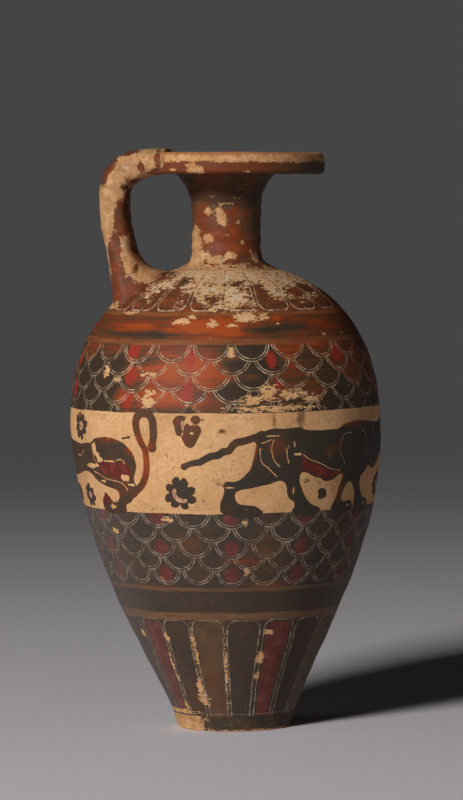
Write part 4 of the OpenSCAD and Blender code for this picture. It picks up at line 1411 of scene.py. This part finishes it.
GOAT_LINES = [
    [(64.4, 57.2), (66.6, 56.6), (68.2, 54.8), (68.6, 53.0)],
    [(69.8, 60.0), (71.6, 57.8), (72.0, 55.2)],
    [(76.0, 58.8), (76.4, 56.8), (76.0, 54.8)],
    [(79.6, 58.6), (80.0, 56.6), (79.6, 54.6)],
    [(85.4, 59.8), (83.8, 57.8), (84.0, 55.2), (85.6, 53.4)],
    [(88.6, 59.6), (88.0, 57.0), (89.2, 54.2)],
    [(58.6, 51.7), (59.4, 51.5), (59.9, 52.0)],
]
GOAT_HORN = [(61.6, 55.6), (62.4, 58.4), (64.6, 60.9), (68.2, 62.7), (72.4, 63.1)]
BIRD = [
    (101.4, 60.8), (100.0, 61.4), (99.2, 62.8), (100.0, 64.2), (101.8, 64.8), (103.4, 63.8), (103.8, 61.8),
    (103.6, 59.6), (104.8, 58.2), (108.0, 57.8), (112.0, 56.6), (116.4, 53.6), (120.2, 51.2), (119.6, 50.2),
    (114.6, 50.4), (110.6, 49.6), (108.6, 48.6), (108.8, 47.4), (110.2, 46.7), (104.6, 46.7), (105.8, 47.6),
    (105.6, 48.8), (103.2, 50.0), (101.2, 52.4), (100.6, 55.2), (101.4, 57.8), (101.9, 59.6),
]
BIRD_LINES = [
    [(103.0, 55.8), (106.6, 56.2), (110.4, 55.0), (113.6, 53.0)],
    [(103.2, 54.0), (106.8, 54.4), (110.6, 53.2)],
    [(104.2, 52.2), (107.4, 52.6), (110.8, 51.6)],
    [(101.2, 63.0), (101.8, 63.3), (102.2, 62.8)],
]


HAUNCH_RED = [
    (-29.6, 54.6), (-27.6, 53.9), (-25.4, 53.4), (-23.2, 53.0), (-21.4, 53.0), (-20.7, 54.2), (-21.2, 55.8),
    (-23.6, 56.6), (-26.4, 57.0), (-28.8, 56.6), (-29.9, 55.6),
]
BELLY_RED = [
    (14.75, 57.6), (15.6, 57.3), (17.2, 56.5), (19.0, 55.8), (21.3, 54.85), (23.3, 54.4), (24.6, 54.15),
    (23.6, 53.75), (22.2, 53.1), (20.8, 52.95), (19.3, 53.55), (17.6, 54.1), (15.9, 54.95), (14.9, 54.9),
    (14.8, 56.2),
]
GOAT_RED = [
    (64.6, 58.2), (66.8, 58.6), (68.8, 57.2), (69.8, 55.2), (69.6, 54.0), (68.9, 55.0), (67.4, 56.8),
    (65.4, 57.6),
]
BIRD_RED = [(102.6, 58.0), (105.6, 57.2), (109.0, 56.4), (106.6, 56.6), (103.4, 56.4), (102.0, 56.6)]

# Filling ornament, [x, z, radius, petals, depth of the gaps between them, turn]
ROSETTES = [
    (-9.95, 50.65, 3.35, 8, 0.13, 0.3), (-6.35, 65.6, 0.98, 4, 0.05), (20.2, 50.1, 1.2, 4, 0.1, 0.9),
    (-36.9, 63.6, 2.9, 8, 0.14, 0.2), (-36.2, 49.3, 2.45, 7, 0.15, 0.6), (42.3, 50.6, 2.7, 8, 0.13),
    (57.3, 61.2, 2.7, 8, 0.13), (76.5, 48.9, 1.8, 6, 0.14), (97.2, 50.4, 2.8, 8, 0.13),
    (112.4, 61.8, 3.0, 8, 0.13), (123.5, 55.6, 2.4, 7, 0.14), (-44.0, 49.6, 1.9, 6, 0.14),
    (84.5, 64.4, 1.5, 5, 0.14), (-1.3, 63.35, 0.35, 3, 0.3),
]
WORN_ROSETTE = [
    (-8.0, 64.9), (-7.4, 64.5), (-6.4, 64.7), (-5.5, 64.2), (-5.3, 63.3), (-5.7, 62.4), (-6.2, 61.3),
    (-7.0, 60.2), (-8.1, 60.2), (-8.8, 61.2), (-9.2, 62.4), (-8.8, 63.5),
]
WORN_PETAL = [
    (-10.6, 64.4), (-10.9, 65.2), (-10.2, 66.3), (-9.1, 66.5), (-8.3, 66.1), (-8.7, 65.4), (-9.3, 64.9),
    (-9.2, 64.1), (-8.9, 62.6), (-9.9, 62.4), (-10.4, 63.2),
]
HEARTS = [
    (-36.7, 63.6, 1.0), (-36.0, 49.3, 0.75), (42.3, 50.6, 1.0), (57.3, 61.2, 1.0), (97.2, 50.4, 1.0),
    (112.4, 61.8, 1.0),
]


def make_frieze():
    """The beasts, their tails and the filling ornament between them."""
    slip = figure_material("figure_slip")
    added = figure_material("added_red", added_red=True)
    painted(
        "feline_right", [RIGHT_BEAST] + incised(RIGHT_LINES), slip, FIRST_COAT, fire=0.06,
        loss=[
            (4.6, 61.9, 0.5, 0.4, 1.0), (8.4, 62.2, 1.6, 0.13, 0.95), (6.4, 59.6, 0.7, 0.3, 0.8),
            (12.9, 58.4, 0.35, 0.3, 1.1), (14.5, 58.3, 0.4, 0.35, 1.1), (0.3, 51.9, 1.0, 0.2, 0.9),
            (3.9, 47.5, 0.35, 0.35, 1.0)],
        fire_spots=[
            (9.5, 60.6, 1.6, 2.0, 0.55), (5.2, 58.0, 0.4, 2.0, 0.7), (28.0, 64.0, 8.0, 0.6, 0.6),
            (22.0, 58.8, 1.8, 1.0, 0.55), (24.9, 51.0, 0.9, 2.8, 0.55)])
    painted(
        "feline_right_tail", [strip(RIGHT_TAIL, [1.0, 1.35, 1.5, 1.5, 1.5, 1.4])], slip, SECOND_COAT,
        fire=0.14, fire_spots=[(1.0, 60.4, 2.6, 1.4, 0.5), (-8.0, 56.5, 2.0, 0.8, 0.3)])
    painted(
        "beast_left", [LEFT_BEAST] + incised(LEFT_LINES), slip, FIRST_COAT, fire=0.2,
        loss=[
            (-31.4, 59.2, 0.7, 1.2, 1.15), (-29.4, 56.9, 0.8, 0.5, 1.15), (-30.2, 57.9, 0.5, 0.7, 1.0),
            (-22.3, 53.6, 0.9, 0.7, 1.1), (-20.8, 52.2, 0.7, 0.3, 1.0), (-29.2, 52.6, 0.8, 0.3, 1.0),
            (-32.6, 55.6, 2.6, 0.5, 1.0), (-28.0, 47.5, 0.6, 0.6, 1.0), (-26.0, 47.4, 0.4, 0.5, 0.9)],
        fire_spots=[
            (-26.0, 61.2, 5.0, 0.7, 0.62), (-20.6, 59.0, 1.0, 1.2, 0.7), (-25.0, 50.6, 2.0, 0.8, 0.55),
            (-24.6, 54.6, 4.6, 2.6, 0.6), (-22.0, 50.6, 1.6, 1.6, 0.5)])
    painted(
        "beast_left_tail", [strip(LEFT_TAIL, [1.5, 1.5, 1.35, 1.4, 1.7, 1.7, 1.6, 1.5])], slip, SECOND_COAT,
        fire=0.36, fire_spots=[
            (-16.9, 56.4, 1.3, 3.4, 0.95), (-18.2, 61.6, 1.0, 2.0, 0.7), (-15.5, 60.2, 0.9, 1.2, 0.8)])
    painted(
        "haunch_red", [HAUNCH_RED, rosette(-29.0, 48.9, 1.2, 4, 0.08)], added, TOP_COAT,
        loss=[(-22.3, 53.6, 0.9, 0.7, 1.1), (-26.0, 56.9, 3.0, 0.4, 0.7)])
    painted("belly_red", [BELLY_RED], added, TOP_COAT)
    painted(
        "goat", [GOAT] + incised(GOAT_LINES), slip, FIRST_COAT, fire=0.14,
        fire_spots=[(74.0, 56.0, 6.0, 3.0, 0.55)])
    painted("goat_horn", [strip(GOAT_HORN, [0.7, 1.0, 1.1, 0.9, 0.5])], slip, SECOND_COAT, fire=0.16)
    painted("water_bird", [BIRD] + incised(BIRD_LINES), slip, FIRST_COAT, fire=0.16)
    painted("goat_neck_red", [GOAT_RED], added, TOP_COAT)
    painted("bird_wing_red", [BIRD_RED], added, TOP_COAT)
    dash = strip([(-22.6, 61.6), (-21.5, 61.75), (-20.4, 62.0)], [0.15, 0.3, 0.2])
    blots = [rosette(*spot) for spot in ROSETTES]
    blots[2:2] = [WORN_ROSETTE]           # the order decides how the fill is cut into faces
    blots[-1:-1] = [WORN_PETAL, dash]
    painted(
        "filling_rosettes", blots, slip, FIRST_COAT, loss=[(-7.6, 62.9, 0.7, 0.25, 0.9)],
        fire_spots=[
            (-10.2, 65.2, 1.0, 1.4, 0.75), (-37.0, 65.8, 2.6, 0.8, 0.55), (-7.4, 62.6, 3.0, 3.4, 0.55),
            (-6.3, 65.6, 1.4, 1.4, 0.6)])
    crescent = [(-11.0, 51.6), (-11.1, 50.4), (-10.4, 49.5), (-9.2, 49.2), (-8.6, 49.4)]
    short = [(-8.9, 65.4), (-9.0, 64.7), (-8.6, 64.1), (-8.0, 64.0)]
    hearts = [strip(crescent, [0.5, 0.8, 0.9, 0.8, 0.4]), strip(short, [0.3, 0.5, 0.5, 0.3])]
    hearts += [rosette(x, z, radius, 5, 0.1) for x, z, radius in HEARTS]
    painted("rosette_hearts", hearts, pink_material(), TOP_COAT, fire=0.3)


def pink_material():
    """Worn added paint, a pale brownish pink."""
    material, vector = begin("worn_pink")
    grain = noise(vector, 1.6)
    return end(material, grain.ramp(WORN_PINK), 0.75 + 0.1 * grain, grain, depth=0.03)


# The stage
def make_floor():
    """A pale sweep: lit floor round the flask that turns into the plain grey of the room."""
    floor = fresh("circle", "studio_floor", vertices=96, radius=6.0, fill_type="NGON")
    material = bpy.data.materials.new("studio_sweep")
    place = emptied(material).node("TexCoord", {}, {}, out="Object")
    away = place.node("VectorMath", {"operation": "LENGTH"}, {0: place}, out="Value")
    grain = place.node("TexNoise", {}, {"Vector": place, "Scale": 900.0, "Detail": 2.0})
    paper = grain.node("BsdfPrincipled", {}, {"Base Color": grain.ramp(PAPER), "Roughness": 0.8})
    room = place.node("Emission", {}, {"Color": srgb(ROOM_GREY), "Strength": 1.0})
    show(away.node("MixShader", {}, {0: away.step(0.1, 0.9), 1: paper, 2: room}))
    floor.data.materials.append(material)


def make_world():
    """Walls of plain grey that darken towards the ceiling."""
    world = bpy.data.worlds.new("studio_room")
    bpy.context.scene.world = world
    heading = emptied(world).node("TexCoord", {}, {}, out="Generated")
    up = heading.parts()[2]
    lit = FILL + (1 - FILL) * (1 - up.step(0.05, 0.16))
    show(up.node("Background", {}, {"Color": srgb(ROOM_GREY), "Strength": lit}), "OutputWorld")


def soft_light(name, place, size, watts):
    """A square soft box at the place, in metres, turned to the flask's middle."""
    light = bpy.data.lights.new(name, "AREA")
    light.shape = "SQUARE"
    light.size = size
    light.energy = watts
    lamp = bpy.data.objects.new(name, light)
    lamp.location = place
    to_flask = Vector((0, 0, 0.06)) - Vector(place)
    lamp.rotation_euler = to_flask.to_track_quat("-Z", "Y").to_euler()
    bpy.context.scene.collection.objects.link(lamp)


def from_angles(azimuth, elevation, distance):
    """A place seen from the flask: azimuth 0 towards the camera and growing to the right, both in degrees."""
    a, e = math.radians(azimuth), math.radians(elevation)
    along_floor = distance * math.cos(e)
    return along_floor * math.sin(a), -along_floor * math.cos(a), distance * math.sin(e)


def make_camera():
    """The photograph's view: a long lens a little above the belly, turned, tipped and rolled slightly."""
    distance, height = 0.9, 0.1175
    focal, photo_height, sensor = 4338, 800, 36
    azimuth, down, aside, roll = math.radians(2.5), math.radians(3.16), 3.44 / focal, 4.7 / 480
    lens = bpy.data.cameras.new("photo_camera")
    lens.sensor_width = sensor
    lens.lens = focal / photo_height * sensor
    camera = bpy.data.objects.new("photo_camera", lens)
    stand = Matrix.Translation((distance * math.sin(azimuth), -distance * math.cos(azimuth), height))
    aim = Matrix.Rotation(azimuth - aside, 4, "Z") @ Matrix.Rotation(math.pi / 2 - down, 4, "X")
    camera.matrix_world = stand @ aim @ Matrix.Rotation(-roll, 4, "Z")
    bpy.context.scene.collection.objects.link(camera)
    bpy.context.scene.camera = camera


make_camera()
make_body()
make_foot()
make_neck()
make_plate()
make_handle()
make_frieze()
make_floor()
make_world()
soft_light("key", from_angles(-30, 27, 1.4), 0.3, 20)
soft_light("left_fill", from_angles(-84, 10, 1.2), 0.4, 0.7)
soft_light("right_sheen", from_angles(112, 5, 1.3), 0.6, 0.7)
bpy.context.scene.view_settings.view_transform = "Standard"
